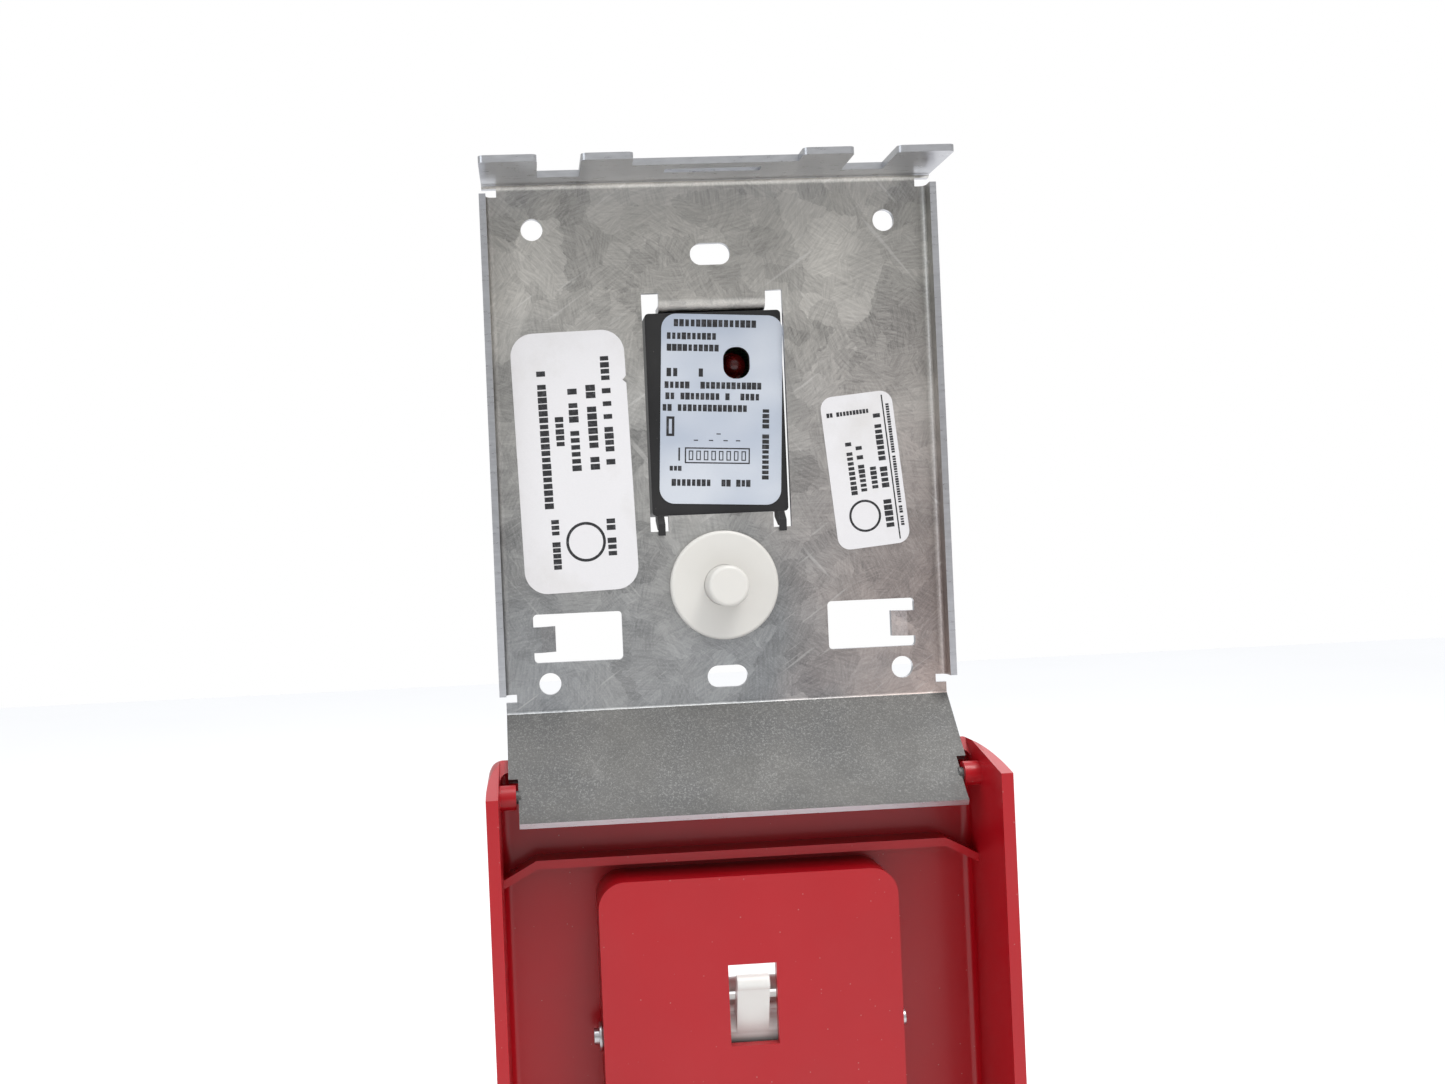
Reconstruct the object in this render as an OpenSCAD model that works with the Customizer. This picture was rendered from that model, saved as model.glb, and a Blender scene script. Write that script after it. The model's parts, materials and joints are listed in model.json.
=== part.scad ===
// Wall-mounted manual fire alarm station, shown with its cover unlocked and swung right down.
// Origin: centre of the four box holes, on the back face of the back plate.
// +X is to the right, +Y runs into the wall and +Z is up. The station faces -Y.
// The parts of the cover are drawn shut and are then turned half a turn about the hinge line.

/* [Back plate] */
// Thickness of the zinc-plated sheet
sheet = 1.3; // [1:0.1:1.6]
// Width over the two side flanges
plate_w = 89.7; // [86:0.1:110]
// Height of the top edge above the centre of the box holes
plate_top = 54.5; // [54:0.5:70]
// Depth of the bend that starts the tongue, below the centre of the box holes
tongue_drop = 49.8; // [49.8:0.2:65]
// Inner radius of each bend
bend_r = 1.2; // [0.8:0.1:1.5]
// Height of the side flanges in front of the plate
side_flange_h = 3.9; // [3:0.1:5]
// Height of the top flange in front of the plate
top_flange_h = 19.35; // [17:0.05:20]
// Angle of the tongue to the plate
tongue_angle = 46; // [44:1:48]
// Length of the tongue along its slope
tongue_l = 26.4; // [25.5:0.1:27]

/* [Mounting holes] */
// Spacing of the box holes across the plate
box_hole_x = 69.85; // [60:0.05:72]
// Spacing of the box holes up the plate
box_hole_z = 88.9; // [80:0.1:90]
// Diameter of a box hole
box_hole_d = 4.3; // [3.5:0.1:5]
// Spacing of the single-gang slots
gang_spacing = 83.34; // [80:0.02:84]
// Drop of the middle of the single-gang slots below the middle of the box holes
gang_drop = 2.9; // [2:0.1:3.5]
// Length of a single-gang slot
gang_slot_l = 8; // [6:0.5:10]
// Height of a single-gang slot
gang_slot_h = 4.3; // [3.5:0.1:4.5]

/* [Cover] */
// Thickness of the side and top walls
side_wall = 2.2; // [1.8:0.1:2.2]
// Thickness of the front wall
front_wall = 2.5; // [2:0.1:3]
// Radius of the rounded edges of the cover
cover_r = 3.5; // [3:0.5:5]
// Distance of the hinge line down the tongue
hinge_s = 19.6; // [19:0.1:20]
// Diameter of a hinge nib
nib_d = 2.4; // [2:0.1:2.6]

/* [Address module] */
// Width of the module
module_w = 27.1; // [25.4:0.1:27.5]
// Height of the module
module_h = 40; // [36:0.5:40]
// Depth of the module behind the plate
module_d = 22; // [20:0.5:26]
// Wall of the module
module_wall = 1.6; // [1.2:0.1:2]

/* [Alarm switch] */
// Diameter of the bezel
bezel_d = 21.4; // [19:0.2:23]
// Diameter of the plunger
plunger_d = 8; // [6:0.5:9]
// Height of the plunger in front of the bezel
plunger_h = 6.5; // [5.5:0.1:6.6]
// Travel of the plunger
plunger_travel = 4.2; // [3.4:0.1:4.2]

/* [Lever and push plate] */
// Width of the lever's bar and of the push plate
lever_w = 50.8; // [44:0.4:62]
// Height of the lever's bar
bar_h = 14.2; // [12:0.2:14.4]
// Diameter of the lever's rod
lever_rod_d = 3; // [2.5:0.1:3.4]
// Diameter of the push plate's rod
push_rod_d = 2.4; // [2:0.1:2.6]

/* [Lock] */
// Diameter of the lock's barrel
barrel_d = 17; // [15:0.5:18]
// Diameter of the lock's plug
plug_d = 10; // [9:0.5:11]
// Thickness of the cam
cam_t = 1.6; // [1.4:0.1:2]

/* [Fits] */
// Radial clearance of what turns or slides in a bore
running = 0.06; // [0.04:0.01:0.09]
// Gap between pieces that are fastened together
seat = 0.05; // [0.03:0.01:0.1]
// Gap between pieces that pass each other
pass = 0.5; // [0.4:0.1:0.6]
// Gap between the edge of the plate and each side wall of the cover
side_gap = 0.45; // [0.3:0.05:0.7]

/* [Hidden] */
$fn = 48;

// Back plate
plate_x = plate_w / 2;
flange_x = plate_x - sheet;
flat_x = flange_x - bend_r;
flange_top = plate_top - sheet;
flat_top = flange_top - bend_r;
side_top = plate_top - 3.5;
side_bottom = 3.6 - tongue_drop;
relief_x = plate_x - 3.3;
relief_h = 1.6;
top_flange_x = plate_x - 0.45;
bend_z = -tongue_drop;
bend_run = bend_r * tan(tongue_angle / 2);
tongue_wide_l = hinge_s - 3.7;
tongue_wide_x = plate_x - 1.2;
tongue_x = plate_x - 3;
// A flat stands this far inside the bend or the lip that it joins.
lap = 0.02;
lip_l = 2.5;
lip_angle = 8;
notch_x = [25.5, 33.6];
notch_floor = 6.4;
recess_x = 15.8;
recess_floor = top_flange_h - 5.1;
tab_r = 1.1;
latch_x = 9.3;
window_x = module_w / 2 + 0.45;
tab_x = window_x - 3.4;
leg_notch_x = window_x - 3.6;
leg_notch_h = 3.05;
low_window_x = [plate_x - 24.45, plate_x - 7.05];
low_window_z = [-40.3, -30.8];
side_tab_x = [plate_x - 11.35, plate_x - 8.55];
side_tab_z = [-38.3, -33.3];
side_tab_lean = 1.7;
window_r = 0.8;
label_t = 0.15;

// Hinge line
hinge_y = -sheet + sheet / 2 * cos(tongue_angle) - hinge_s * sin(tongue_angle);
hinge_z = bend_z - sheet / 2 * sin(tongue_angle) - hinge_s * cos(tongue_angle);
nib_end_x = tongue_x + 2.75;

// Cover, drawn shut
rim_y = -0.3;
front_in = -sheet - top_flange_h - 2.25;
front_y = front_in - front_wall;
cover_in_x = plate_x + side_gap;
cover_x = cover_in_x + side_wall;
cover_top = plate_top + side_wall + 0.7;
cover_bottom = hinge_z - 6;
boss_r = nib_d / 2 + 1.1;
boss_x = tongue_x + 0.45;
rib_t = 1.6;
rib_z = cover_bottom + 18.4;
rib_x = cover_in_x - 6.3;
rib_rise = 3.5;
rib_rear = front_in + 6;

// Pocket for the lever and the push plate
pocket_wall = 2;
pocket_gap = 0.6;
pocket_x = lever_w / 2 + pocket_gap;
pocket_top = 11;
pocket_bottom = -45.9;
pocket_floor = front_y + 12.6;
pocket_rear = pocket_floor + pocket_wall;
pocket_r = 3;
face_y = front_y + 1;

// Module
module_x = 0.15;
module_z = [-12.5, -12.5 + module_h];
module_mid_z = (module_z[0] + module_z[1]) / 2;
window_top = module_z[1] + 0.2 + sheet + bend_r;
window_bottom = module_z[0] - seat;
led_pos = [4.5, 17.2];
led_hole = [5.3, 6.3];
light_r = 2.4;
lid_t = 2;
lid_y = module_d - lid_t;
board_t = 1.6;
board_y = lid_y - 5.5;
dip_z = 10.6;
dip_size = [21.6, 6.2];
dip_pitch = 2.54;
slider_size = [1.1, 1.4];
slider_travel = 1.2;
block_z = 0.6;
block_size = [14, 9];
block_rear = module_d + 6;
terminal_pitch = 6.5;
lead_z = -7;
lead_r = 0.8;

// Alarm switch
switch_z = -26.6;
bezel_t = 1.5;
bezel_front = -sheet - bezel_t;
plunger_tip = bezel_front - plunger_h;
plunger_r = plunger_d / 2;
collar_r = plunger_r + 3.8;
collar_end = 6;
nut_t = 3;
case_wall = 1.6;
case_start = nut_t + 2 * seat;
case_end = 23.6;
shoulder_r = plunger_r + 2.4;
shoulder_t = 1;
stem_r = 2;
stem_end = 17.6;
web_y = [14.5, 15.7];
bridge_y = 16.6;
bridge_t = 0.6;
contact_y = bridge_y + bridge_t + plunger_travel + 0.2;
contact_x = 5;
contact_end = case_end + 4;

// Lever
lever_y = front_y + 8.4;
lever_z = -18;
lever_rod_r = lever_rod_d / 2;
hub_r = lever_rod_r + 1.7;
bar_bottom = lever_z + 2;
bar_top = bar_bottom + bar_h;
bar_t = 4;
stem_x = 12;
foot_x = 3;
foot_t = 3;
foot_drop = 10;
foot_gap = 0.35;

// Push plate
push_y = front_y + 4.9;
push_z = 7.5;
push_rod_r = push_rod_d / 2;
push_bottom = bar_top + 1.8;
push_top = pocket_top - 1;
push_t = 2;
knuckle_r = push_rod_r + 1.2;
knuckle_x = [14, 19];

// Break rod
break_y = front_y + 3.9;
break_z = -24.8;
break_r = 1.4;
break_l = 36;
post_x = [stem_x + 2.2, stem_x + 4.2];
rod_overhang = 1.6;
catch_pos = [-8, -3];
catch_t = 0.3;

// Lock
lock_z = plate_top - 17.5;
cam_reach = flange_top + 1.1 - lock_z;
cam_y = -sheet - (7.8 + 10.6) / 2 - cam_t / 2;
cam_half_w = 4;
barrel_r = barrel_d / 2;
barrel_flange_r = barrel_r + 2.5;
barrel_end = cam_y - 1.3;
plug_r = plug_d / 2;
plug_front = front_y - 1.4;
lock_nut_t = 3;
clip_t = 0.6;

// ---------- helpers ----------

// Extrudes an outline drawn in X and Z from y0 to y1.
module along_y(y0, y1) {
    translate([0, y1, 0]) rotate([90, 0, 0]) linear_extrude(y1 - y0) children();
}

// Extrudes an outline drawn in Y and Z from x0 to x1.
module along_x(x0, x1) {
    translate([x0, 0, 0]) rotate([90, 0, 90]) linear_extrude(x1 - x0) children();
}

// A round bar along Y.
module rod_y(x, z, r, y0, y1) {
    translate([x, y0, z]) rotate([-90, 0, 0]) cylinder(r = r, h = y1 - y0);
}

// A round bar along X.
module rod_x(y, z, r, x0, x1) {
    translate([x0, y, z]) rotate([0, 90, 0]) cylinder(r = r, h = x1 - x0);
}

// A box between two corners.
module block(low, high) {
    translate(low) cube(high - low);
}

// A rectangle with round corners, about its centre.
module round_rect(w, h, r) {
    square([w - 2 * r, h], center = true);
    square([w, h - 2 * r], center = true);
    for (x = [-1, 1], z = [-1, 1])
        translate([x * (w / 2 - r), z * (h / 2 - r)]) circle(r);
}

// A piece and its mirror image on the left.
module both_sides() {
    children();
    mirror([1, 0, 0]) children();
}

// The section of a bend of the given angle about the origin.
module bend_section(angle, inner) {
    outer = inner + sheet;
    intersection() {
        difference() {
            circle(outer);
            circle(inner);
        }
        polygon([[0, 0], [2 * outer, 0], 2 * outer * [cos(angle), -sin(angle)]]);
    }
}

// Turns the shut cover's parts half a turn about the hinge line.
module swung_down() {
    translate([0, 2 * hinge_y, 2 * hinge_z]) rotate([180, 0, 0]) children();
}

// The tongue's own frame: its front face is y = 0, and it runs down along -z.
module on_tongue() {
    translate([0, -sheet, bend_z]) rotate([-tongue_angle, 0, 0]) children();
}

// A wire swept along points. It never runs along `about`, which its rings are set out from.
module wire(points, r, about, sides = 8) {
    last = len(points) - 1;
    ahead = [for (i = [0:last]) points[min(i + 1, last)] - points[max(i - 1, 0)]];
    rings = [for (i = [0:last])
        let (t = ahead[i] / norm(ahead[i]),
             u = cross(t, about),
             a = u / norm(u),
             b = cross(t, a))
        for (k = [0:sides - 1])
            points[i] + r * (cos(k * 360 / sides) * a + sin(k * 360 / sides) * b)];
    walls = [for (i = [0:last - 1], k = [0:sides - 1])
        [i * sides + k, i * sides + (k + 1) % sides,
         (i + 1) * sides + (k + 1) % sides, (i + 1) * sides + k]];
    start = [for (k = [sides - 1:-1:0]) k];
    finish = [for (k = [0:sides - 1]) last * sides + k];
    polyhedron(points = rings, faces = concat([start], walls, [finish]), convexity = 6);
}

// ---------- back plate ----------

module sheet_outline() {
    difference() {
        union() {
            translate([-flat_x, side_bottom]) square([2 * flat_x, side_top - side_bottom]);
            translate([-relief_x, side_bottom - relief_h])
                square([2 * relief_x, flat_top - side_bottom + relief_h]);
            translate([-tongue_wide_x, bend_z + bend_run])
                square([2 * tongue_wide_x, side_bottom - relief_h - bend_z - bend_run]);
        }
        sheet_cuts();
    }
}

module sheet_cuts() {
    for (x = [-1, 1], z = [-1, 1])
        translate([x * box_hole_x / 2, z * box_hole_z / 2]) circle(d = box_hole_d);
    for (z = [-1, 1])
        translate([0, z * gang_spacing / 2 - gang_drop])
            round_rect(gang_slot_l, gang_slot_h, gang_slot_h / 2 - 0.01);
    translate([0, switch_z]) circle(collar_r + 0.2);
    module_window();
    both_sides() low_window();
}

module module_window() {
    translate([-window_x, window_bottom]) square([2 * window_x, window_top - window_bottom]);
    both_sides() translate([leg_notch_x, window_bottom - leg_notch_h])
        square([window_x - leg_notch_x, leg_notch_h + 1]);
    both_sides() translate([tab_x, window_top - 1]) square([window_x - tab_x, 2.1]);
}

module low_window() {
    difference() {
        translate([low_window_x[0] + low_window_x[1], low_window_z[0] + low_window_z[1]] / 2)
            round_rect(low_window_x[1] - low_window_x[0], low_window_z[1] - low_window_z[0], window_r);
        translate([side_tab_x[1], side_tab_z[0]]) square([9, side_tab_z[1] - side_tab_z[0]]);
    }
}

module side_flange() {
    translate([0, 0, side_bottom]) linear_extrude(side_top - side_bottom) {
        translate([flat_x, -sheet - bend_r]) mirror([0, 1]) bend_section(90, bend_r);
        translate([flange_x, -sheet - side_flange_h]) square([sheet, side_flange_h - bend_r]);
    }
}

// Rounds a front corner of the top flange, whose tab lies on the given side of x.
module tab_corner(x, side) {
    translate([x + side * tab_r, tab_r - sheet - top_flange_h]) difference() {
        translate([side > 0 ? -2 * tab_r : 0, -2 * tab_r]) square(2 * tab_r);
        circle(tab_r);
    }
}

module top_flange() {
    difference() {
        union() {
            along_x(-top_flange_x, top_flange_x)
                translate([-sheet - bend_r, flat_top]) mirror([0, 1]) bend_section(90, bend_r);
            translate([0, 0, flange_top]) linear_extrude(sheet)
                translate([-top_flange_x, -sheet - top_flange_h])
                    square([2 * top_flange_x, top_flange_h - bend_r]);
        }
        translate([0, 0, flange_top - 3]) linear_extrude(2 * sheet + 6) {
            both_sides() translate([notch_x[0], -sheet - top_flange_h - 1])
                square([notch_x[1] - notch_x[0], top_flange_h + 1 - notch_floor]);
            translate([-recess_x, -sheet - top_flange_h - 1])
                square([2 * recess_x, top_flange_h + 1 - recess_floor]);
            translate([-latch_x, -sheet - 10.6]) square([2 * latch_x, 2.8]);
            both_sides() {
                tab_corner(top_flange_x, -1);
                tab_corner(notch_x[1], 1);
                tab_corner(notch_x[0], -1);
                tab_corner(recess_x, 1);
            }
        }
        both_sides() block([relief_x, -sheet - 1, side_top - 1], [plate_x, 1, side_top + relief_h]);
    }
}

module tongue() {
    along_x(-tongue_wide_x, tongue_wide_x)
        translate([-sheet - bend_r, bend_z + bend_run]) bend_section(tongue_angle, bend_r);
    on_tongue() {
        block([-tongue_wide_x, lap, -tongue_wide_l], [tongue_wide_x, sheet - lap, 0.2 - bend_run]);
        block([-tongue_x, lap, lip_l - tongue_l], [tongue_x, sheet - lap, -tongue_wide_l + 1]);
        translate([0, 0, lip_l - tongue_l]) rotate([-lip_angle, 0, 0])
            block([lap - tongue_x, 0, -lip_l], [tongue_x - lap, sheet, 0.3]);
        both_sides() rod_x(sheet / 2, -hinge_s, nib_d / 2, tongue_x - 0.4, nib_end_x);
    }
}

// The tab over the module is rolled backwards and then runs straight back.
module top_tab() {
    along_x(-tab_x, tab_x) {
        translate([bend_r, window_top]) mirror([1, 0]) bend_section(90, bend_r);
        translate([bend_r, window_top - bend_r - sheet]) square([5, sheet]);
    }
}

module side_tab() {
    translate([0, 0, side_tab_z[0]]) linear_extrude(side_tab_z[1] - side_tab_z[0])
        polygon([
            [side_tab_x[1] + 0.01, -sheet], [side_tab_x[0], side_tab_lean - sheet],
            [side_tab_x[0], side_tab_lean], [side_tab_x[1] + 0.01, 0]
        ]);
}

module back_plate() {
    color([0.55, 0.56, 0.58]) {
        along_y(-sheet, 0) sheet_outline();
        both_sides() side_flange();
        top_flange();
        tongue();
        top_tab();
        both_sides() side_tab();
    }
}

// A label is a thin sheet with round corners, stuck on at a slight slant.
module stuck_label(x, z, w, h, r, slant, y) {
    translate([x, y, z]) rotate([0, -slant, 0]) along_y(-label_t, 0) round_rect(w, h, r);
}

module large_label() {
    color("white") difference() {
        stuck_label(-28.4, -1.2, 22.3, 51, 4.5, 1.4, -sheet);
        translate([-17.2, -sheet, 14.6]) rotate([0, 40, 0]) cube([1.6, 2, 1.6], center = true);
    }
}

module small_label() {
    color("white") stuck_label(29.1, -5.1, 14.5, 30.5, 2.5, 5.2, -sheet);
}

// ---------- address module ----------

module module_case() {
    color([0.06, 0.06, 0.06]) translate([module_x, 0, 0]) {
        difference() {
            along_y(0, lid_y) translate([0, module_mid_z]) round_rect(module_w, module_h, 0.8);
            block(
                [module_wall - module_w / 2, module_wall, module_z[0] + module_wall],
                [module_w / 2 - module_wall, lid_y + 1, module_z[1] - module_wall]
            );
            translate([-module_x, 0, 0]) led_opening();
        }
        both_sides() snap_leg();
    }
}

// The opening in front of the status light, in the case and in its label.
module led_opening() {
    along_y(-2 * module_wall, 2 * module_wall) translate(led_pos)
        round_rect(led_hole[0], led_hole[1], 2.4);
}

// Each snap leg passes its notch and hooks over the front of the plate.
module snap_leg() {
    leg_x = [leg_notch_x + 0.9, leg_notch_x + 2.3];
    hook_z = window_bottom - leg_notch_h;
    along_x(leg_x[0], leg_x[1]) polygon([
        [4, module_z[0] + 0.4], [4, module_z[0] - 1], [0, hook_z + 0.3], [-sheet - 0.1, hook_z + 0.3],
        [-sheet - 0.1, hook_z - 0.8], [-sheet - 0.7, hook_z - 0.8], [-sheet - 1, hook_z + 1.4],
        [0.5, module_z[0] + 0.4]
    ]);
}

module module_back() {
    color([0.09, 0.09, 0.09]) difference() {
        along_y(lid_y + seat, module_d) translate([module_x, module_mid_z])
            round_rect(module_w, module_h, 0.8);
        translate([0, module_d, dip_z])
            cube([dip_size[0] + 0.4, 6 * lid_t, dip_size[1] + 0.4], center = true);
        translate([0, module_d, block_z])
            cube([block_size[0] + 0.4, 6 * lid_t, block_size[1] + 0.4], center = true);
        for (x = [-1, 1]) rod_y(x * contact_x, lead_z, lead_r + running, lid_y - 1, module_d + 1);
    }
}

module module_label() {
    color([0.75, 0.82, 0.9]) difference() {
        stuck_label(1.1, module_mid_z + 0.6, module_w - 2.9, module_h - 2.4, 3, -3, 0);
        led_opening();
    }
}

module circuit_board() {
    inner_x = module_w / 2 - module_wall - 0.1;
    color([0.05, 0.3, 0.15]) difference() {
        block(
            [module_x - inner_x, board_y, module_z[0] + module_wall + 0.1],
            [module_x + inner_x, board_y + board_t, module_z[1] - module_wall - 0.1]
        );
        for (x = [-1, 1]) rod_y(x * contact_x, lead_z, lead_r + running, board_y - 1, lid_y);
        for (x = [-1, 1])
            rod_y(led_pos[0] + x * 1.27, led_pos[1], 0.35, board_y - 1, board_y + board_t + 1);
    }
}

module status_led() {
    led_r = 2.4;
    led_end = 8;
    color([0.75, 0.1, 0.1]) {
        translate([led_pos[0], 2 + led_r, led_pos[1]]) sphere(r = led_r);
        rod_y(led_pos[0], led_pos[1], led_r, 2 + led_r, led_end);
        rod_y(led_pos[0], led_pos[1], led_r + 0.4, led_end - 1, led_end);
        for (x = [-1, 1])
            rod_y(led_pos[0] + x * 1.27, led_pos[1], 0.3, led_end - 0.5, board_y + board_t + 1);
    }
}

function slider_x(i) = (i - 4.5) * dip_pitch;

module dip_switch_body() {
    rear = module_d + 0.4;
    color([0.1, 0.2, 0.5]) difference() {
        block(
            [-dip_size[0] / 2, board_y + board_t, dip_z - dip_size[1] / 2],
            [dip_size[0] / 2, rear, dip_z + dip_size[1] / 2]
        );
        for (i = [1:8]) block(
            [slider_x(i) - slider_size[0] / 2 - 0.05, rear - 1.5, dip_z - slider_size[1] / 2 - 0.05],
            [
                slider_x(i) + slider_size[0] / 2 + 0.05, rear + 1,
                dip_z + slider_size[1] / 2 + slider_travel + 0.05
            ]
        );
    }
}

module dip_slider(i) {
    rear = module_d + 0.4;
    color("white") block(
        [slider_x(i) - slider_size[0] / 2, rear - 1.4, dip_z - slider_size[1] / 2],
        [slider_x(i) + slider_size[0] / 2, rear + 0.7, dip_z + slider_size[1] / 2]
    );
}

// The block's two wells hold a clamp and a screw each, and are open below for the field wires.
module terminal_block() {
    well_w = 5;
    color([0.12, 0.35, 0.2]) difference() {
        block(
            [-block_size[0] / 2, board_y + board_t, block_z - block_size[1] / 2],
            [block_size[0] / 2, block_rear, block_z + block_size[1] / 2]
        );
        for (x = [-1, 1]) {
            block(
                [x * terminal_pitch / 2 - well_w / 2, block_rear - 5, block_z - block_size[1] / 2 - 1],
                [x * terminal_pitch / 2 + well_w / 2, block_rear - 1.2, block_z + 2.5]
            );
            rod_y(x * terminal_pitch / 2, block_z, 2.1, block_rear - 5, block_rear + 1);
        }
    }
}

module terminal_clamps() {
    clamp_t = 0.8;
    color([0.7, 0.7, 0.7]) for (x = [-1, 1]) translate([x * terminal_pitch / 2, 0, 0])
        difference() {
            block([-2.3, block_rear - 5, block_z - 3], [2.3, block_rear - 5 + clamp_t, block_z + 2.3]);
            rod_y(0, block_z, 1, block_rear - 6, block_rear);
        }
}

module terminal_screws() {
    head_y = block_rear - 1.9;
    color([0.75, 0.75, 0.77]) for (x = [-1, 1]) difference() {
        union() {
            rod_y(x * terminal_pitch / 2, block_z, 2, head_y, head_y + 1.6);
            rod_y(x * terminal_pitch / 2, block_z, 1 - running, block_rear - 5, head_y);
        }
        translate([x * terminal_pitch / 2, head_y + 1.6, block_z]) rotate([0, 25 * x, 0])
            cube([5, 1.4, 0.6], center = true);
    }
}

// ---------- alarm switch ----------

module switch_bezel() {
    rim_r = 0.7;
    color([0.93, 0.92, 0.88]) difference() {
        union() {
            translate([0, -sheet, switch_z]) rotate([90, 0, 0]) rotate_extrude() {
                square([bezel_d / 2 - rim_r, bezel_t]);
                square([bezel_d / 2, bezel_t - rim_r]);
                translate([bezel_d / 2 - rim_r, bezel_t - rim_r]) circle(rim_r);
            }
            rod_y(0, switch_z, collar_r, -sheet - 0.1, collar_end);
        }
        rod_y(0, switch_z, plunger_r + running, bezel_front - 1, collar_end + 1);
    }
}

module switch_nut() {
    color([0.93, 0.92, 0.88]) difference() {
        translate([0, seat, switch_z]) rotate([-90, 0, 0]) cylinder(r = collar_r + 3.2, h = nut_t, $fn = 6);
        rod_y(0, switch_z, collar_r + running, -1, nut_t + 1);
    }
}

module switch_case() {
    inner_r = collar_r + running;
    color([0.15, 0.15, 0.16]) difference() {
        rod_y(0, switch_z, inner_r + case_wall, case_start, case_end);
        rod_y(0, switch_z, inner_r, case_start - 1, web_y[0]);
        rod_y(0, switch_z, stem_r + running, web_y[0] - 1, web_y[1] + 1);
        rod_y(0, switch_z, inner_r, web_y[1], case_end - 1.6);
        for (x = [-1, 1]) translate([x * contact_x, case_end, switch_z])
            cube([0.9, 6, 3.1], center = true);
    }
}

module switch_contacts() {
    color([0.75, 0.6, 0.3]) for (x = [-1, 1]) {
        block(
            [x * contact_x - 0.4, contact_y, switch_z - 1.5],
            [x * contact_x + 0.4, contact_end, switch_z + 1.5]
        );
    }
}

// Each lead runs back from its contact, up, and forward into the module.
module switch_leads() {
    turn_r = 2.5;
    start_y = contact_end - 1.5;
    up_y = contact_end + 0.5 + turn_r;
    color([0.5, 0.05, 0.05]) for (x = [-1, 1]) translate([x * (contact_x + 0.4 + lead_r), 0, 0]) {
        rod_y(0, switch_z, lead_r, start_y, contact_end + 0.5);
        translate([0, contact_end + 0.5, switch_z + turn_r]) lead_turn(turn_r);
        translate([0, up_y, switch_z + turn_r])
            cylinder(r = lead_r, h = lead_z - turn_r - switch_z - turn_r);
        translate([0, contact_end + 0.5, lead_z - turn_r]) mirror([0, 0, 1]) lead_turn(turn_r);
        rod_y(0, lead_z, lead_r, module_d, contact_end + 0.5);
    }
}

// A quarter turn from +Y up to +Z, about the origin.
module lead_turn(turn_r) {
    rotate([0, -90, 0]) rotate([0, 0, 90]) rotate_extrude(angle = 90)
        translate([turn_r, 0]) circle(lead_r);
}

function helix(turns, r, length, steps) = [for (i = [0:turns * steps])
    [r * cos(i * 360 / steps), i / (turns * steps) * length, r * sin(i * 360 / steps)]];

module switch_spring() {
    wire_r = 0.3;
    spring_y = [collar_end + seat + shoulder_t + wire_r, web_y[0] - wire_r];
    color([0.8, 0.8, 0.82]) translate([0, spring_y[0] + 0.05, switch_z])
        wire(helix(5, stem_r + 1.2, spring_y[1] - spring_y[0] - 0.1, 14), wire_r, [0, 1, 0]);
}

module switch_plunger() {
    tip_r = 0.8;
    shoulder_y = collar_end + seat;
    color([0.95, 0.94, 0.9]) {
        translate([0, shoulder_y, switch_z]) rotate([90, 0, 0]) rotate_extrude() {
            square([plunger_r, shoulder_y - plunger_tip - tip_r]);
            square([plunger_r - tip_r, shoulder_y - plunger_tip]);
            translate([plunger_r - tip_r, shoulder_y - plunger_tip - tip_r]) circle(tip_r);
        }
        rod_y(0, switch_z, shoulder_r, shoulder_y, shoulder_y + shoulder_t);
        rod_y(0, switch_z, stem_r, shoulder_y + shoulder_t - 0.1, stem_end);
    }
}

module contact_bridge() {
    color([0.75, 0.6, 0.3]) difference() {
        along_y(bridge_y, bridge_y + bridge_t) translate([0, switch_z]) round_rect(13, 5, 1);
        rod_y(0, switch_z, stem_r + 0.02, bridge_y - 1, bridge_y + 2);
    }
}

// ---------- cover, drawn shut ----------

// The section of a tray: its closed side at `front` has round corners.
module tray_section(low, high, rear, front, r) {
    translate([front + r, low]) square([rear - front - r, high - low]);
    translate([front, low + r]) square([rear - front, high - low - 2 * r]);
    for (z = [low + r, high - r]) translate([front + r, z]) circle(r);
}

// A box that is open to the wall, with round edges at its front.
module tray(half_w, bottom, top, rear, front, r) {
    intersection() {
        along_y(front, rear) translate([0, (bottom + top) / 2])
            round_rect(2 * half_w, top - bottom, r);
        along_x(-half_w, half_w) tray_section(bottom, top, rear, front, r);
        translate([0, 0, bottom]) linear_extrude(top - bottom) mirror([1, 0]) rotate(90)
            tray_section(-half_w, half_w, rear, front, r);
    }
}

module cover_shell() {
    difference() {
        tray(cover_x, cover_bottom, cover_top, rim_y, front_y, cover_r);
        tray(cover_in_x, cover_bottom + side_wall, cover_top - side_wall, 2, front_in, 1.6);
        on_tongue() block([-cover_in_x, -pass, -60], [cover_in_x, 40, 0]);
        along_x(-cover_x - 1, cover_x + 1) polygon([
            [2, cover_bottom - 1], [2, hinge_z - 2.1], [rim_y, hinge_z - 2.1],
            [hinge_y - 4, cover_bottom + 0.1], [hinge_y - 4, cover_bottom - 1]
        ]);
    }
}

module pocket_outline(grow) {
    translate([0, (pocket_top + pocket_bottom) / 2])
        round_rect(2 * (pocket_x + grow), pocket_top - pocket_bottom + 2 * grow, pocket_r + grow);
}

module hinge_boss() {
    rod_x(hinge_y, hinge_z, boss_r, boss_x, cover_in_x + 0.5);
    block(
        [boss_x + 0.6, front_in - 0.5, hinge_z - 0.6],
        [cover_in_x + 0.5, hinge_y - boss_r + 0.4, hinge_z + 0.6]
    );
}

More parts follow.
